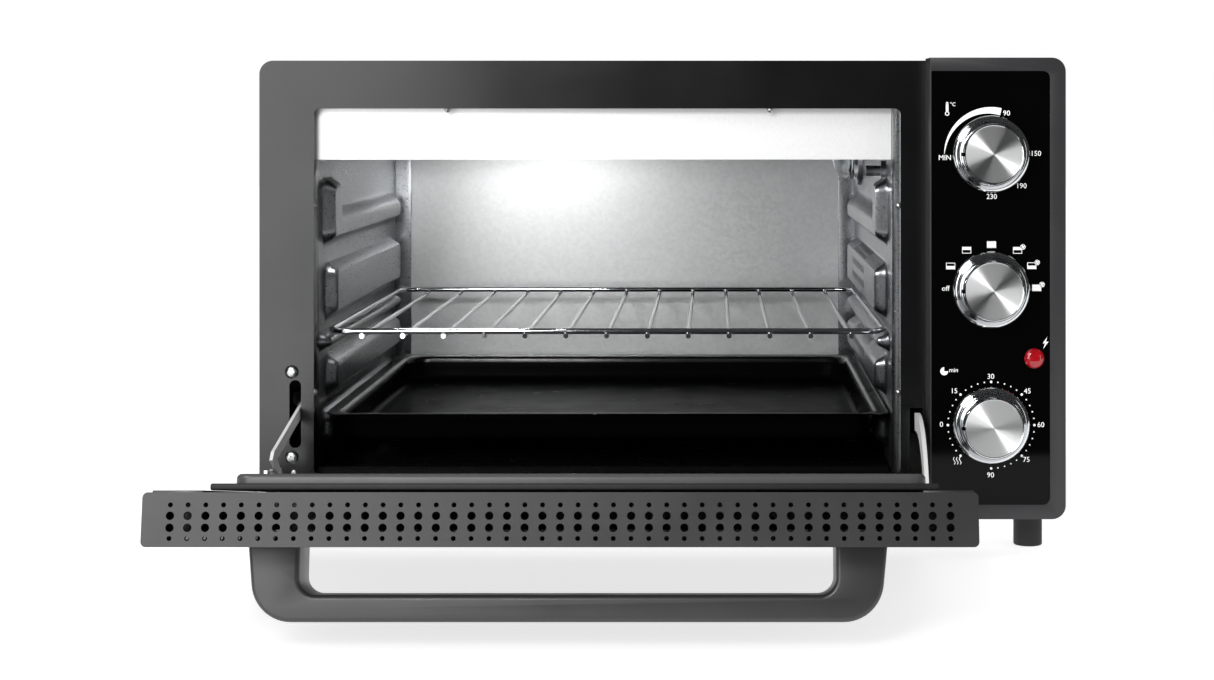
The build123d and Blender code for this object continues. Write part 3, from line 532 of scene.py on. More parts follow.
for label in ("temperature", "function", "timer"):
    low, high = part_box(f"{label}_knob")
    centre = Vector(((low.x + high.x) / 2, high.y, (low.z + high.z) / 2))
    forward = Vector((0, -1, 0))
    # base ring: rolled outer rim, then a hollow that the body stands in
    ring = profile_mm(
        (0.02, 22.2), (1.2, 22.2), (2.0, 21.9), (2.7, 21.2), (3.0, 20.5), (2.8, 19.8),
        (2.2, 19.2), (1.9, 18.6), (0.4, 18.2), (0.02, 17.0), (0.02, 22.2),
    )
    vertices, faces = lathe(ring, centre, forward, 128)
    ring_piece = mesh_object(f"{label}_knob_ring", vertices, faces, "chrome")
    body_name = f"{label}_control"
    # body: slightly flared wall up to a rounded shoulder and a thin bright lip
    wall = profile_mm(
        (0.1, 18.5), (2.5, 18.4), (6.0, 18.1), (10.0, 17.8), (12.9, 17.6), (13.6, 17.5),
        (14.1, 17.25), (14.45, 16.9), (14.5, 16.6), (14.35, 16.3), (0.1, 16.3), (0.1, 18.5),
    )
    vertices, faces = lathe(wall, centre, forward, 128)
    wall_piece = mesh_object(f"{label}_knob_wall", vertices, faces, "chrome")
    # turned face: a shallow dish whose rim is just inside the lip
    dish = profile_mm(
        (12.5, 16.28), (14.25, 16.28), (14.22, 14.0), (14.15, 10.0), (14.06, 5.0),
        (14.0, 1.2), (13.98, 0.4), (13.97, 0.05), (12.5, 0.05), (12.5, 16.28),
    )
    vertices, faces = lathe(dish, centre, forward, 128)
    face_piece = mesh_object(f"{label}_knob_face", vertices, faces, "spun")
    turned_uv(face_piece, centre, forward)
    # pointer: a short raised bar across the shoulder, at the mark the knob stands on
    width, inner, outer = 1.1 * MM, 16.2 * MM, 18.4 * MM
    notch = []
    for depth in (10.5 * MM, 14.55 * MM):
        for x, z in ((-outer, -width), (-inner, -width), (-inner, width), (-outer, width)):
            notch.append(centre + Vector((x, -depth, z)))
    sides = [(0, 1, 2, 3), (4, 5, 6, 7), (0, 1, 5, 4), (1, 2, 6, 5), (2, 3, 7, 6), (3, 0, 4, 7)]
    pointer = mesh_object(f"{label}_knob_pointer", notch, sides, "gloss", smooth=False)
    bevel = pointer.modifiers.new("rounding", "BEVEL")
    bevel.width = 0.35 * MM
    bevel.segments = 3
    applied(pointer)
    place(face_piece, body_name, "knob_metal", f"{label}_knob")
    place(ring_piece, body_name, "knob_metal")
    place(wall_piece, body_name, "knob_metal")
    place(pointer, body_name, "knob_metal")

# ---------------------------------------------------------------- printing on the fascia

plate_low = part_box("fascia_plate")[0]
INK_OUT = 0.06 * MM
INK_IN = 0.01 * MM


def dial_centre(label):
    low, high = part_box(f"{label}_knob")
    return (low.x + high.x) / 2, (low.z + high.z) / 2


def ink_prism(outline, holes=()):
    """Vertices and faces of a thin printed shape from an outline of x and z in metres."""
    work = bmesh.new()
    for y in (plate_low.y - INK_OUT, plate_low.y + INK_IN):
        loops = [[work.verts.new((x, y, z)) for x, z in ring] for ring in (outline, *holes)]
        edges = []
        for ring in loops:
            edges += [work.edges.new((a, b)) for a, b in zip(ring, ring[1:] + ring[:1])]
        bmesh.ops.triangle_fill(work, edges=edges, use_beauty=True)
        if y < plate_low.y:
            front = loops
        else:
            for near, far in zip(front, loops):
                for k in range(len(near)):
                    n = (k + 1) % len(near)
                    work.faces.new((near[k], near[n], far[n], far[k]))
    return work


def stamp(works, name):
    """Joins thin prisms into one printed piece."""
    mesh = bpy.data.meshes.new(name)
    whole = bmesh.new()
    for work in works:
        part = bpy.data.meshes.new("part")
        bmesh.ops.recalc_face_normals(work, faces=work.faces)
        work.to_mesh(part)
        work.free()
        whole.from_mesh(part)
        bpy.data.meshes.remove(part)
    whole.to_mesh(mesh)
    whole.free()
    mesh.materials.append(FINISH["ink"])
    made = bpy.data.objects.new(name, mesh)
    bpy.context.scene.collection.objects.link(made)
    place(made, "root", "panel_gloss")
    return made


def disc(x, z, radius, steps=20):
    return [
        (x + radius * math.cos(math.tau * k / steps), z + radius * math.sin(math.tau * k / steps))
        for k in range(steps)
    ]


def oblong(x, z, half_x, half_z):
    return [
        (x - half_x, z - half_z), (x + half_x, z - half_z),
        (x + half_x, z + half_z), (x - half_x, z + half_z),
    ]


def lettering(words, x, z, height_mm):
    """A number or unit as thin raised print, centred on a point of the plate."""
    curve = bpy.data.curves.new("lettering", "FONT")
    curve.body = words
    curve.size = height_mm * MM / 0.72
    curve.align_x = "CENTER"
    curve.align_y = "CENTER"
    curve.extrude = (INK_OUT + INK_IN) / 2
    curve.resolution_u = 3
    writer = bpy.data.objects.new("lettering", curve)
    bpy.context.scene.collection.objects.link(writer)
    bpy.context.view_layer.update()
    graph = bpy.context.evaluated_depsgraph_get()
    mesh = bpy.data.meshes.new_from_object(writer.evaluated_get(graph))
    middle = plate_low.y - (INK_OUT - INK_IN) / 2
    mesh.transform(Matrix.Translation((x, middle, z)) @ Matrix.Rotation(math.pi / 2, 4, "X"))
    work = bmesh.new()
    work.from_mesh(mesh)
    bpy.data.objects.remove(writer)
    bpy.data.curves.remove(curve)
    bpy.data.meshes.remove(mesh)
    return work


def oven_icon(x, z, top_bar, bottom_bar, middle_bar=False, fan=False):
    """A small oven outline with its lit elements, and a fan mark beside it."""
    half_x, half_z, line = 2.6 * MM, 1.9 * MM, 0.3 * MM
    shapes = []
    hole = oblong(x, z, half_x - line, half_z - line)
    shapes.append(ink_prism(oblong(x, z, half_x, half_z), [hole[::-1]]))
    if top_bar:
        shapes.append(ink_prism(oblong(x, z + half_z * 0.5, half_x - 0.25 * MM, half_z * 0.42)))
    if bottom_bar:
        shapes.append(ink_prism(oblong(x, z - half_z * 0.45, half_x - 0.25 * MM, half_z * 0.48)))
    if middle_bar:
        shapes.append(ink_prism(oblong(x, z, half_x - 0.25 * MM, half_z * 0.3)))
    if fan:
        centre_x, centre_z = x + 3.1 * MM, z + 1.9 * MM
        shapes.append(ink_prism(disc(centre_x, centre_z, 1.5 * MM, 24),
                                [disc(centre_x, centre_z, 1.2 * MM, 24)[::-1]]))
        for k in range(4):
            a = math.tau * (k / 4 + 0.08)
            blade = (centre_x + 0.6 * MM * math.cos(a), centre_z + 0.6 * MM * math.sin(a))
            shapes.append(ink_prism(disc(*blade, 0.42 * MM, 10)))
    return shapes


cx, cz = dial_centre("temperature")
prints = []
for words, x, z in (
    ("90", 8.9, 23.4), ("150", 25.7, 0.2), ("190", 17.4, -18.4), ("230", 0.3, -24.6),
    ("MIN", -26.6, -2.2),
):
    prints.append(lettering(words, cx + x * MM, cz + z * MM, 3.0))
# the rising scale: a crescent that widens from nine o'clock to just past the top
crescent = []
steps = 40
for k in range(steps + 1):
    a = math.radians(180 - 103 * k / steps)
    crescent.append((cx + 27.0 * MM * math.cos(a), cz + 27.0 * MM * math.sin(a)))
for k in range(steps, -1, -1):
    a = math.radians(180 - 103 * k / steps)
    r = (26.85 - 4.0 * min(1.0, (k / steps) ** 0.8)) * MM
    crescent.append((cx + r * math.cos(a), cz + r * math.sin(a)))
prints.append(ink_prism(crescent))
# thermometer with its unit
tx, tz = cx - 25.3 * MM, cz + 25.5 * MM
prints.append(ink_prism(disc(tx, tz - 2.2 * MM, 1.25 * MM, 24),
                        [disc(tx, tz - 2.2 * MM, 0.8 * MM, 24)[::-1]]))
prints.append(ink_prism(oblong(tx, tz + 1.4 * MM, 0.75 * MM, 2.3 * MM)))
prints.append(ink_prism(disc(tx, tz + 3.7 * MM, 0.75 * MM, 16)))
prints.append(lettering("°C", tx + 3.3 * MM, tz + 3.0 * MM, 2.2))
stamp(prints, "temperature_print")

cx, cz = dial_centre("function")
prints = [lettering("off", cx - 26.2 * MM, cz + 0.6 * MM, 3.0)]
for x, z, top_bar, bottom_bar, middle, fan in (
    (-23.3, 13.5, False, True, False, False),
    (-14.1, 22.7, True, False, False, False),
    (0.2, 25.9, True, True, False, False),
    (15.2, 22.6, True, False, False, True),
    (23.4, 13.7, False, True, False, True),
    (26.2, 1.0, True, True, False, True),
):
    prints += oven_icon(cx + x * MM, cz + z * MM, top_bar, bottom_bar, middle, fan)
stamp(prints, "function_print")

cx, cz = dial_centre("timer")
prints = []
for words, x, z in (
    ("0", -28.6, 0.3), ("15", -21.3, 19.6), ("30", -0.2, 27.9), ("45", 20.9, 19.5),
    ("60", 28.6, 0.1), ("75", 20.3, -19.9), ("90", -0.3, -28.8),
):
    prints.append(lettering(words, cx + x * MM, cz + z * MM, 3.0))
for k in range(36):
    a = math.radians(225 - 9 * k)
    big = k % 5 == 0
    place_x, place_z = cx + 24.9 * MM * math.cos(a), cz + 24.9 * MM * math.sin(a)
    prints.append(ink_prism(disc(place_x, place_z, (0.72 if big else 0.42) * MM, 16)))
# three rising waves at the keep-warm mark
for n in range(3):
    wave = []
    base = cx + (-21.2 + 1.7 * n) * MM
    for k in range(13):
        t = k / 12
        wave.append((base + 0.5 * MM * math.sin(math.tau * t), cz + (-22.6 + 4.2 * t) * MM))
    outline = [(x - 0.2 * MM, z) for x, z in wave] + [(x + 0.2 * MM, z) for x, z in wave[::-1]]
    prints.append(ink_prism(outline))
# clock with a quarter cut out, and its unit
clock_x, clock_z = cx - 27.0 * MM, cz + 31.0 * MM
pie = [(clock_x, clock_z)]
for k in range(31):
    a = math.radians(90 + 270 * k / 30)
    pie.append((clock_x + 2.3 * MM * math.cos(a), clock_z + 2.3 * MM * math.sin(a)))
prints.append(ink_prism(pie))
prints.append(lettering("min", cx - 21.6 * MM, cz + 31.6 * MM, 2.6))
stamp(prints, "timer_print")

# lightning bolt beside the pilot light
lens_low, lens_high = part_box("neon_lens")
lens_x, lens_z = (lens_low.x + lens_high.x) / 2, (lens_low.z + lens_high.z) / 2
bolt = [(0.9, 3.4), (-1.6, -0.4), (-0.2, -0.1), (-1.3, -3.4), (1.7, 0.8), (0.2, 0.5)]
prints = [ink_prism([(lens_x + (6.5 + x) * MM, lens_z + (8.9 + z) * MM) for x, z in bolt])]
stamp(prints, "pilot_print")

# ---------------------------------------------------------------- pilot light

lens_base = Vector((lens_x, lens_high.y, lens_z))
dome = profile_mm(
    (0.1, 0.02), (0.1, 4.6), (9.8, 4.6), (9.8, 5.7), (10.4, 5.7), (10.6, 5.5), (11.2, 5.15),
    (11.8, 4.5), (12.2, 3.5), (12.45, 2.2), (12.55, 1.0), (12.57, 0.02),
)
vertices, faces = lathe(dome, lens_base, (0, -1, 0), 64)
place(mesh_object("pilot_lens", vertices, faces, "red"), "root", "red_lens", "neon_lens")

# ---------------------------------------------------------------- cavity side walls

back_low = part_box("cavity_back_wall")[0]
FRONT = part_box("front_frame")[0].y
# depth ranges and heights of the pressed pads, in millimetres from the frame's face
PADS = (
    (30.0, 320.0, 55.0, 78.4),
    (42.0, 320.0, 84.5, 111.0),
    (22.0, 320.0, 114.0, 126.0),
    (42.0, 320.0, 131.5, 167.0),
    (34.0, 320.0, 177.0, 219.0),
)
NOTCH = (62.0, 348.0, 190.0, 250.0)
PRESS = 7.4
EDGE = 6.5


def padded_height(y, z):
    """How far the sheet is pressed inwards at a depth and height, in millimetres."""

    def pad(y0, y1, z0, z1, corner, edge):
        half_y, half_z = (y1 - y0) / 2, (z1 - z0) / 2
        round_by = min(corner, half_y, half_z)
        dy = np.abs(y - (y0 + y1) / 2) - (half_y - round_by)
        dz = np.abs(z - (z0 + z1) / 2) - (half_z - round_by)
        outside = np.hypot(np.maximum(dy, 0), np.maximum(dz, 0)) - round_by
        inside = -np.where((dy > 0) | (dz > 0), outside, np.maximum(dy, dz) - round_by)
        t = np.clip(inside / edge, 0, 1)
        return t * t * (3 - 2 * t)

    height = np.zeros_like(y)
    for y0, y1, z0, z1 in PADS:
        height = np.maximum(height, pad(y0, y1, z0, z1, 9.0, min(EDGE, (z1 - z0) / 2.6)))
    cut = pad(*NOTCH, 10.0, 11.0)
    return PRESS * height * (1 - cut)


def pressed_wall(name, node, inward, holes, flare_mm):
    """A side wall as one pressed sheet; the holes are discs of depth, height and radius."""
    low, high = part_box(node)
    face_x = low.x if inward > 0 else high.x
    sheet = 1.0 * MM
    base_x = face_x + inward * sheet
    ys = np.linspace(low.y, high.y, 190)
    zs = np.linspace(low.z, high.z, 130)
    grid_y, grid_z = np.meshgrid(ys, zs, indexing="ij")
    height = padded_height((grid_y - FRONT) / MM, grid_z / MM) * MM
    # the front edge turns out to meet the rim of the opening
    lead = np.clip(1 - ((grid_y - FRONT) / MM - 1.5) / 6.0, 0, 1)
    height = height - flare_mm * MM * lead**2
    ny, nz = grid_y.shape
    inner = np.stack([base_x + inward * height, grid_y, grid_z], -1).reshape(-1, 3)
    outer = inner.copy()
    outer[:, 0] -= inward * sheet * 0.8
    vertices = np.vstack([inner, outer])
    faces = []
    count = ny * nz
    for i in range(ny - 1):
        for j in range(nz - 1):
            a, b, c, d = i * nz + j, (i + 1) * nz + j, (i + 1) * nz + j + 1, i * nz + j + 1
            faces.append((a, b, c, d))
            faces.append((a + count, d + count, c + count, b + count))
    rim = [i * nz for i in range(ny)] + [(ny - 1) * nz + j for j in range(1, nz)]
    rim += [i * nz + nz - 1 for i in range(ny - 2, -1, -1)] + list(range(nz - 2, 0, -1))
    for a, b in zip(rim, rim[1:] + rim[:1]):
        faces.append((a, b, b + count, a + count))
    # the darker copy of the galvanised sheet: its darker tone is painted shade
    wall = mesh_object(name, vertices, faces, "pressed")
    cutters = bmesh.new()
    for y, z, radius in holes:
        turn = Matrix.Translation((face_x, FRONT + y * MM, z * MM))
        turn = turn @ Matrix.Rotation(math.pi / 2, 4, "Y")
        bmesh.ops.create_cone(
            cutters, cap_ends=True, segments=24, radius1=radius * MM, radius2=radius * MM,
            depth=40 * MM, matrix=turn,
        )
    cutter_mesh = bpy.data.meshes.new("holes")
    cutters.to_mesh(cutter_mesh)
    cutters.free()
    cutter = bpy.data.objects.new("holes", cutter_mesh)
    bpy.context.scene.collection.objects.link(cutter)
    cut = wall.modifiers.new("holes", "BOOLEAN")
    cut.operation = "DIFFERENCE"
    cut.solver = "MANIFOLD"
    cut.object = cutter
    applied(wall)
    bpy.data.objects.remove(cutter)
    bpy.data.meshes.remove(cutter_mesh)
    shade(wall, 40)
    return wall


heater_holes = [(y, z, 3.7) for z in (246.0, 55.0) for y in (110.0, 235.0)]
left_wall = pressed_wall("left_wall_sheet", "cavity_left_wall", 1, heater_holes, 0.0)
place(left_wall, "root", "galvanised", "cavity_left_wall")
vents = []
for row_z in (154.5, 100.5):
    for i in range(12):
        for j in range(3):
            vents.append((196.5 + (i - 5.5) * 9.6, row_z + (j - 1) * 9.6, 2.8))
right_holes = heater_holes + vents + [(278.0, 228.0, 17.0), (57.0, 222.0, 3.4)]
right_wall = pressed_wall("right_wall_sheet", "cavity_right_wall", -1, right_holes, 5.0)
place(right_wall, "root", "galvanised", "cavity_right_wall")

# ---------------------------------------------------------------- repeated small pieces


def repeat_tree(material):
    """A node group that stands a template on every point, facing along a given turn."""
    tree = bpy.data.node_groups.new("repeat_on_points", "GeometryNodeTree")
    made = tree.interface.new_socket
    made("Points", in_out="INPUT", socket_type="NodeSocketGeometry")
    made("Template", in_out="INPUT", socket_type="NodeSocketObject")
    made("Turn", in_out="INPUT", socket_type="NodeSocketVector")
    made("Spin Step", in_out="INPUT", socket_type="NodeSocketFloat")
    made("Result", in_out="OUTPUT", socket_type="NodeSocketGeometry")
    given = add(tree, "NodeGroupInput").outputs
    template = add(tree, "GeometryNodeObjectInfo", links={"Object": given["Template"]})
    index = add(tree, "GeometryNodeInputIndex").outputs[0]
    spin = add(tree, "ShaderNodeMath", {"operation": "MULTIPLY"},
               {0: index, 1: given["Spin Step"]}).outputs[0]
    own = add(tree, "ShaderNodeCombineXYZ", links={"Z": spin}).outputs[0]
    placed = add(
        tree,
        "GeometryNodeInstanceOnPoints",
        links={
            "Points": given["Points"],
            "Instance": template.outputs["Geometry"],
            "Rotation": given["Turn"],
        },
    )
    spun = add(tree, "GeometryNodeRotateInstances",
               links={"Instances": placed.outputs[0], "Rotation": own})
    real = add(tree, "GeometryNodeRealizeInstances", links={"Geometry": spun.outputs[0]})
    coat = add(tree, "GeometryNodeSetMaterial", links={"Geometry": real.outputs[0]})
    coat.inputs["Material"].default_value = material
    result = add(tree, "NodeGroupOutput")
    tree.links.new(coat.outputs[0], result.inputs[0])
    return tree


def repeated(name, points, template, turn, finish, spin=0.0):
    """One plain mesh of a template repeated at points, which are in metres."""
    mesh = bpy.data.meshes.new(name)
    mesh.from_pydata([tuple(p) for p in points], [], [])
    made = bpy.data.objects.new(name, mesh)
    bpy.context.scene.collection.objects.link(made)
    tree = repeat_tree(FINISH[finish])
    nodes = made.modifiers.new("repeat", "NODES")
    nodes.node_group = tree
    sockets = {item.name: item.identifier for item in tree.interface.items_tree
               if item.in_out == "INPUT"}
    nodes[sockets["Template"]] = template
    nodes[sockets["Turn"]] = turn
    nodes[sockets["Spin Step"]] = spin
    applied(made)
    bpy.data.objects.remove(template)
    shade(made, 40)
    return made


def screw_template(radius_mm, dome_mm):
    """A pan head with a cross recess, facing up from its seat."""
    head = profile_mm(
        (-0.02, 0.05), (-0.02, radius_mm), (dome_mm * 0.35, radius_mm),
        (dome_mm * 0.7, radius_mm * 0.9), (dome_mm * 0.93, radius_mm * 0.68),
        (dome_mm, radius_mm * 0.4), (dome_mm, 0.05), (-0.02, 0.05),
    )
    vertices, faces = lathe(head, (0, 0, 0), (0, 0, 1), 40)
    screw = mesh_object("screw", vertices, faces, "steel")
    cutters = bmesh.new()
    for turned in (0, math.pi / 2):
        matrix = Matrix.Translation((0, 0, dome_mm * MM)) @ Matrix.Rotation(turned, 4, "Z")
        matrix = matrix @ Matrix.Diagonal(
            (radius_mm * 1.15 * MM, radius_mm * 0.26 * MM, dome_mm * 1.3 * MM, 1)
        )
        bmesh.ops.create_cube(cutters, size=1.0, matrix=matrix)
    cutter_mesh = bpy.data.meshes.new("cross")
    cutters.to_mesh(cutter_mesh)
    cutters.free()
    cutter = bpy.data.objects.new("cross", cutter_mesh)
    bpy.context.scene.collection.objects.link(cutter)
    cut = screw.modifiers.new("cross", "BOOLEAN")
    cut.operation = "DIFFERENCE"
    cut.solver = "EXACT"
    cut.use_self = True
    cut.object = cutter
    applied(screw)
    bpy.data.objects.remove(cutter)
    return screw


# hinge screws on the front frame
low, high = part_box("hinge_screws")
spots = [(-215.9 * MM, high.y, z * MM) for z in (105.2, 55.0)]
hinge_heads = repeated(
    "hinge_screw_heads", spots, screw_template(3.0, 1.1), (math.pi / 2, 0.0, 0.0), "steel", 0.7
)
place(hinge_heads, "root", "steel", "hinge_screws")
# each head sits in a dark cupped washer
cup = profile_mm((0.0, 3.05), (0.0, 4.0), (0.25, 4.0), (0.5, 3.7), (0.25, 3.3), (0.0, 3.05))
vertices, faces = lathe(cup, (0, 0, 0), (0, 0, 1), 40)
washers = repeated(
    "hinge_screw_washers", spots, mesh_object("cup", vertices, faces, "rubber"),
    (math.pi / 2, 0.0, 0.0), "enamel",
)
place(washers, "root", "steel")
small = [(-214.5 * MM, high.y, 46.0 * MM)]
place(
    repeated("hinge_screw_tip", small, screw_template(1.7, 1.0), (math.pi / 2, 0.0, 0.0), "steel"),
    "root",
    "steel",
)
# case screws on the back
low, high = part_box("case_screws")
spots = [(x * MM, low.y, z * MM) for x in (-222.0, 222.0) for z in (45.0, 155.0, 270.0)]
case_heads = repeated(
    "case_screw_heads", spots, screw_template(3.3, 1.7), (-math.pi / 2, 0.0, 0.0), "steel", 0.9
)
place(case_heads, "root", "steel", "case_screws")

# ---------------------------------------------------------------- baking tray


def tray_loop(half_x, half_y, corner, z, centre):
    return rounded_loop(half_x, half_y, corner, z, centre, 10)


low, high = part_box("baking_tray")
centre = ((low.x + high.x) / 2, (low.y + high.y) / 2)
half_x, half_y = (high.x - low.x) / 2, (high.y - low.y) / 2
top, bottom = high.z, low.z
# outline from the rolled edge over the flange and down to the floor: inset and height in mm
SECTION = (
    (0.35, -0.9, 7), (0.0, -0.5, 7), (0.05, -0.15, 7), (0.5, 0.0, 7), (1.1, -0.05, 7),
    (1.7, -0.35, 7), (2.6, -0.5, 8), (5.5, -0.5, 11), (6.6, -0.75, 13), (7.4, -1.4, 14),
    (8.0, -2.6, 15), (9.2, -8.0, 15.5), (10.1, -13.2, 16), (10.7, -15.0, 16),
    (11.9, -16.1, 15), (14.0, -16.5, 14), (17.0, -16.55, 13), (30.0, -16.5, 9),
)
inside = []
for inset, drop, corner in SECTION:
    inside.append(tray_loop(half_x - inset * MM, half_y - inset * MM, corner * MM,
                            top + drop * MM, centre))
underneath = []
sheet_mm = 0.45
for inset, drop, corner in SECTION[5:]:
    slip = sheet_mm if drop > -15.5 and inset > 6 else 0.0
    fall = sheet_mm
    z = max(bottom + 0.02 * MM, top + (drop - fall) * MM)
    underneath.append(tray_loop(half_x - (inset - slip) * MM, half_y - (inset - slip) * MM,
                                corner * MM, z, centre))
curl = [tray_loop(half_x - 0.7 * MM, half_y - 0.7 * MM, 6.6 * MM, top - 0.95 * MM, centre)]
vertices, faces = skin(underneath[::-1] + curl + inside, (True, True))
tray = mesh_object("baking_tray_sheet", vertices, faces, "tray")
shade(tray, 60)
place(tray, "tray", "black_enamel", "baking_tray")

# ---------------------------------------------------------------- door spring

low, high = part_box("door_spring")
spring_x, spring_z = (low.x + high.x) / 2, (low.z + high.z) / 2
wire, coil = 0.65 * MM, 4.1 * MM
turns, per_turn, around = 40, 20, 8
start, end = low.y + 6 * MM, high.y - 6 * MM
loops = []
total = turns * per_turn
for k in range(total + 1):
    t = k / total
    a = math.tau * turns * t
    # the end turns close in to the hooks on the axis
    swell = min(1.0, 8 * t + 0.12, 8 * (1 - t) + 0.12)
    out = Vector((math.cos(a), 0, math.sin(a)))
    middle = Vector((spring_x, start + (end - start) * t, spring_z)) + out * coil * swell
    ring = []
    for n in range(around):
        b = math.tau * n / around
        ring.append(middle + out * wire * math.cos(b) + Vector((0, 1, 0)) * wire * math.sin(b))
    loops.append(ring)
vertices, faces = skin(loops, (True, True))
coil_piece = mesh_object("door_spring_coil", vertices, faces, "steel")
place(coil_piece, "root", "steel", "door_spring")
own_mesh(coil_piece)

# ---------------------------------------------------------------- softened mouldings

place(softened("door_handle", "handle", 2.2, 4), "door", "handle_plastic", "door_handle")
place(softened("door_frame", "door", 0.7, 2), "door", "door_dark", "door_frame")
# the inner frame takes the lighter moulding, whose lighter tone is painted light
place(softened("door_inner_frame", "ledge_painted_light", 0.8, 3), "door", "door_dark", "door_inner_frame")
place(softened("control_bezel", "bezel", 0.5, 3), "root", "panel_plastic", "control_bezel")
place(softened("feet", "rubber", 0.8, 3), "root", "foot_rubber", "feet")
place(softened("door_gasket", "rubber", 0.9, 3), "door", "seal", "door_gasket")

# ---------------------------------------------------------------- small sheet details


def sheet_box(name, corner, opposite, finish, rounding_mm, segments=3):
    """A closed sheet between two corners in millimetres, its edges rounded."""
    (x0, y0, z0), (x1, y1, z1) = corner, opposite
    points = [(x * MM, FRONT + y * MM, z * MM) for y in (y0, y1) for z in (z0, z1) for x in (x0, x1)]
    sides = [(0, 1, 3, 2), (4, 6, 7, 5), (0, 4, 5, 1), (2, 3, 7, 6), (0, 2, 6, 4), (1, 5, 7, 3)]
    made = mesh_object(name, points, sides, finish, smooth=False)
    bevel = made.modifiers.new("rounding", "BEVEL")
    bevel.width = rounding_mm * MM
    bevel.segments = segments
    applied(made)
    shade(made, 50)
    return made


# the back corners are lapped: a narrow flange stands on the back wall at each side, in the darker copy of
# the sheet, whose darker tone is painted shade
back_mm = (back_low.y - FRONT) / MM
for side, x0, x1 in (("left", -203.9, -191.8), ("right", 125.0, 137.4)):
    flange = sheet_box(
        f"back_{side}_flange", (x0, back_mm - 1.1, 46), (x1, back_mm - 0.05, 261), "pressed", 0.45
    )
    place(flange, "root", "galvanised")
# the opening's edge turns in on the left as a black lip
lip = sheet_box("opening_left_lip", (-203.7, 1.3, 46.5), (-203.0, 17.0, 259.5), "enamel", 0.3)
place(lip, "root", "frame_black")
# rubber-free door stops: small steel bumps round the opening
bump = profile_mm((0.0, 0.05), (0.0, 1.9), (0.6, 1.85), (1.2, 1.4), (1.6, 0.8), (1.75, 0.05),
                  (0.0, 0.05))
vertices, faces = lathe(bump, (0, 0, 0), (0, 0, 1), 32)
spots = []
for z in (93.0, 203.0):
    spots.append((-202.9 * MM, FRONT + 2.2 * MM, z * MM))
    spots.append((141.4 * MM, FRONT + 2.2 * MM, z * MM))
for x in (-124.5, 65.5):
    spots.append((x * MM, FRONT + 2.2 * MM, 259.6 * MM))
bumps = repeated(
    "opening_stops", spots, mesh_object("bump", vertices, faces, "steel"),
    (math.pi / 2, 0.0, 0.0), "steel",
)
place(bumps, "root", "galvanised", "frame_tabs")

# ---------------------------------------------------------------- lamp glass

low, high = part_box("lamp_glass")
lamp_base = Vector((high.x, (low.y + high.y) / 2, (low.z + high.z) / 2))
deep = (high.x - low.x) / MM
outer = [(0.0, 18.2), (1.5, 18.4), (3.0, 18.4), (3.6, 17.7), (4.2, 18.2), (5.4, 18.2), (6.0, 17.5),
         (6.6, 17.9), (7.8, 17.8), (9.5, 17.2), (11.5, 16.0), (13.5, 14.2), (15.2, 11.8),
         (16.5, 8.9), (17.4, 5.6), (17.9, 2.6), (18.0, 0.3)]
inner = [(16.2, 0.3), (15.9, 4.0), (14.8, 8.0), (12.8, 11.4), (9.8, 13.9), (6.0, 15.2), (0.0, 15.6)]
scaled = [(a * deep / 18.0, r) for a, r in outer + inner]
vertices, faces = lathe(profile_mm(*scaled, scaled[0]), lamp_base, (-1, 0, 0), 64)
place(mesh_object("lamp_jar", vertices, faces, "clear"), "root", "clear_glass", "lamp_glass")

# ---------------------------------------------------------------- floor, light and camera

floor_mat, floor_tree, floor_shader, floor_place = surface("backlit opal acrylic", "#c2c2c2", 0.6)
floor_shader.inputs["Specular IOR Level"].default_value = 0.1
feed(
    floor_tree,
    floor_shader,
    Base_Color=between(floor_tree, noise(floor_tree, floor_place, 300, 2), "#c0c0c0", "#c4c4c4"),
)
# the table is lit from below, so the oven casts only a faint shadow
floor_shader.inputs["Emission Color"].default_value = (1, 1, 1, 1)
floor_shader.inputs["Emission Strength"].default_value = 0.73
FINISH["sweep"] = floor_mat
# the near edge stops short, so that glossy fronts don't mirror a white floor
wide, near, far = 2.6, -0.47, 6.0
sweep = mesh_object(
    "studio_sweep",
    [(-wide, near, 0), (wide, near, 0), (wide, far, 0), (-wide, far, 0)],
    [(0, 1, 2, 3)],
    "sweep",
    smooth=False,
)

world = bpy.data.worlds.new("studio")
bpy.context.scene.world = world
world.use_nodes = True
tree = world.node_tree
background = tree.nodes["Background"]
path = add(tree, "ShaderNodeLightPath")
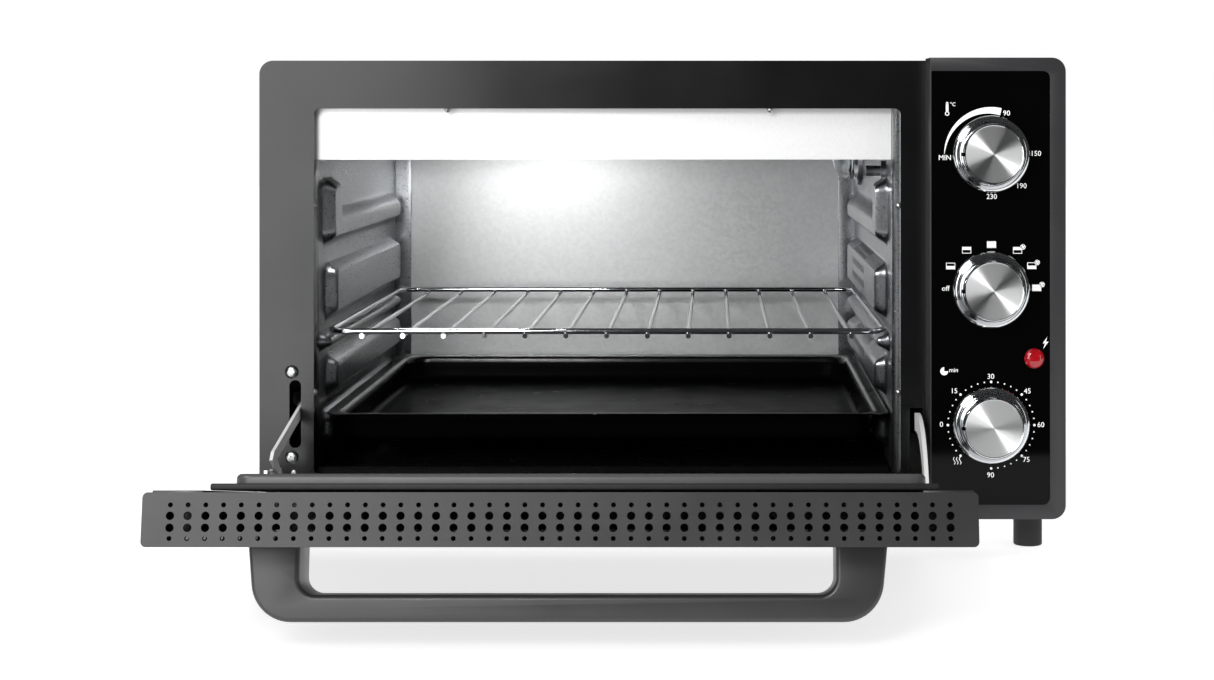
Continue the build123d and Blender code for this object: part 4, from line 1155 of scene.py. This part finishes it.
# the camera sees a white backdrop, polished faces see a dark studio, and the rest is fill
dimmed = add(tree, "ShaderNodeMix", {"data_type": "FLOAT"}, {0: path.outputs["Is Glossy Ray"]})
dimmed.inputs[2].default_value = 0.8
dimmed.inputs[3].default_value = 0.05
level = add(tree, "ShaderNodeMix", {"data_type": "FLOAT"}, {0: path.outputs["Is Camera Ray"]})
tree.links.new(dimmed.outputs[0], level.inputs[2])
level.inputs[3].default_value = 1.0
background.inputs["Color"].default_value = (1, 1, 1, 1)
tree.links.new(level.outputs[0], background.inputs["Strength"])


def softbox(name, centre, target, width, height, power):
    """A rectangular area light that faces a point."""
    lamp = bpy.data.lights.new(name, "AREA")
    lamp.shape = "RECTANGLE"
    lamp.size, lamp.size_y = width, height
    lamp.energy = power
    made = bpy.data.objects.new(name, lamp)
    made.location = centre
    aim = Vector(target) - Vector(centre)
    made.rotation_euler = aim.to_track_quat("-Z", "Y").to_euler()
    bpy.context.scene.collection.objects.link(made)
    return made


front_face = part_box("front_frame")[0][1]
softbox("front_left_softbox", (-0.79, -1.62, 0.36), (-0.4, -0.1, 0.18), 0.95, 1.3, 14.8)
softbox("high_left_softbox", (-1.05, -0.85, 1.25), (0.0, -0.05, 0.15), 0.7, 0.7, 12)
softbox("front_right_strip", (1.05, -1.1, 0.12), (0.2, -0.1, 0.15), 0.12, 0.7, 0.8)
softbox("knob_card", (-0.34, -1.45, 0.76), (0.165, front_face, 0.15), 0.3, 0.3, 6.0)
# a thin strip behind the baffle lights the cavity, and the small card is for the knob faces
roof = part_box("cavity_top")[0].z
softbox("cavity_strip", (-0.12, front_face + 0.042, roof - 0.012), (0.01, 0.2, 0.0), 0.13, 0.012, 0.55)

camera_data = bpy.data.cameras.new("camera")
camera = bpy.data.objects.new("camera", camera_data)
bpy.context.scene.collection.objects.link(camera)
camera_data.sensor_width = 36
camera_data.lens = 64.5
camera.location = (0.03175, front_face - 1.280, 0.259)
camera.rotation_euler = (math.pi / 2, 0, 0)
camera_data.shift_x = -0.087
camera_data.shift_y = -0.189
camera_data.clip_start = 0.05
bpy.context.scene.camera = camera
scene_view = bpy.context.scene.view_settings
scene_view.view_transform = "Standard"
scene_view.look = "None"
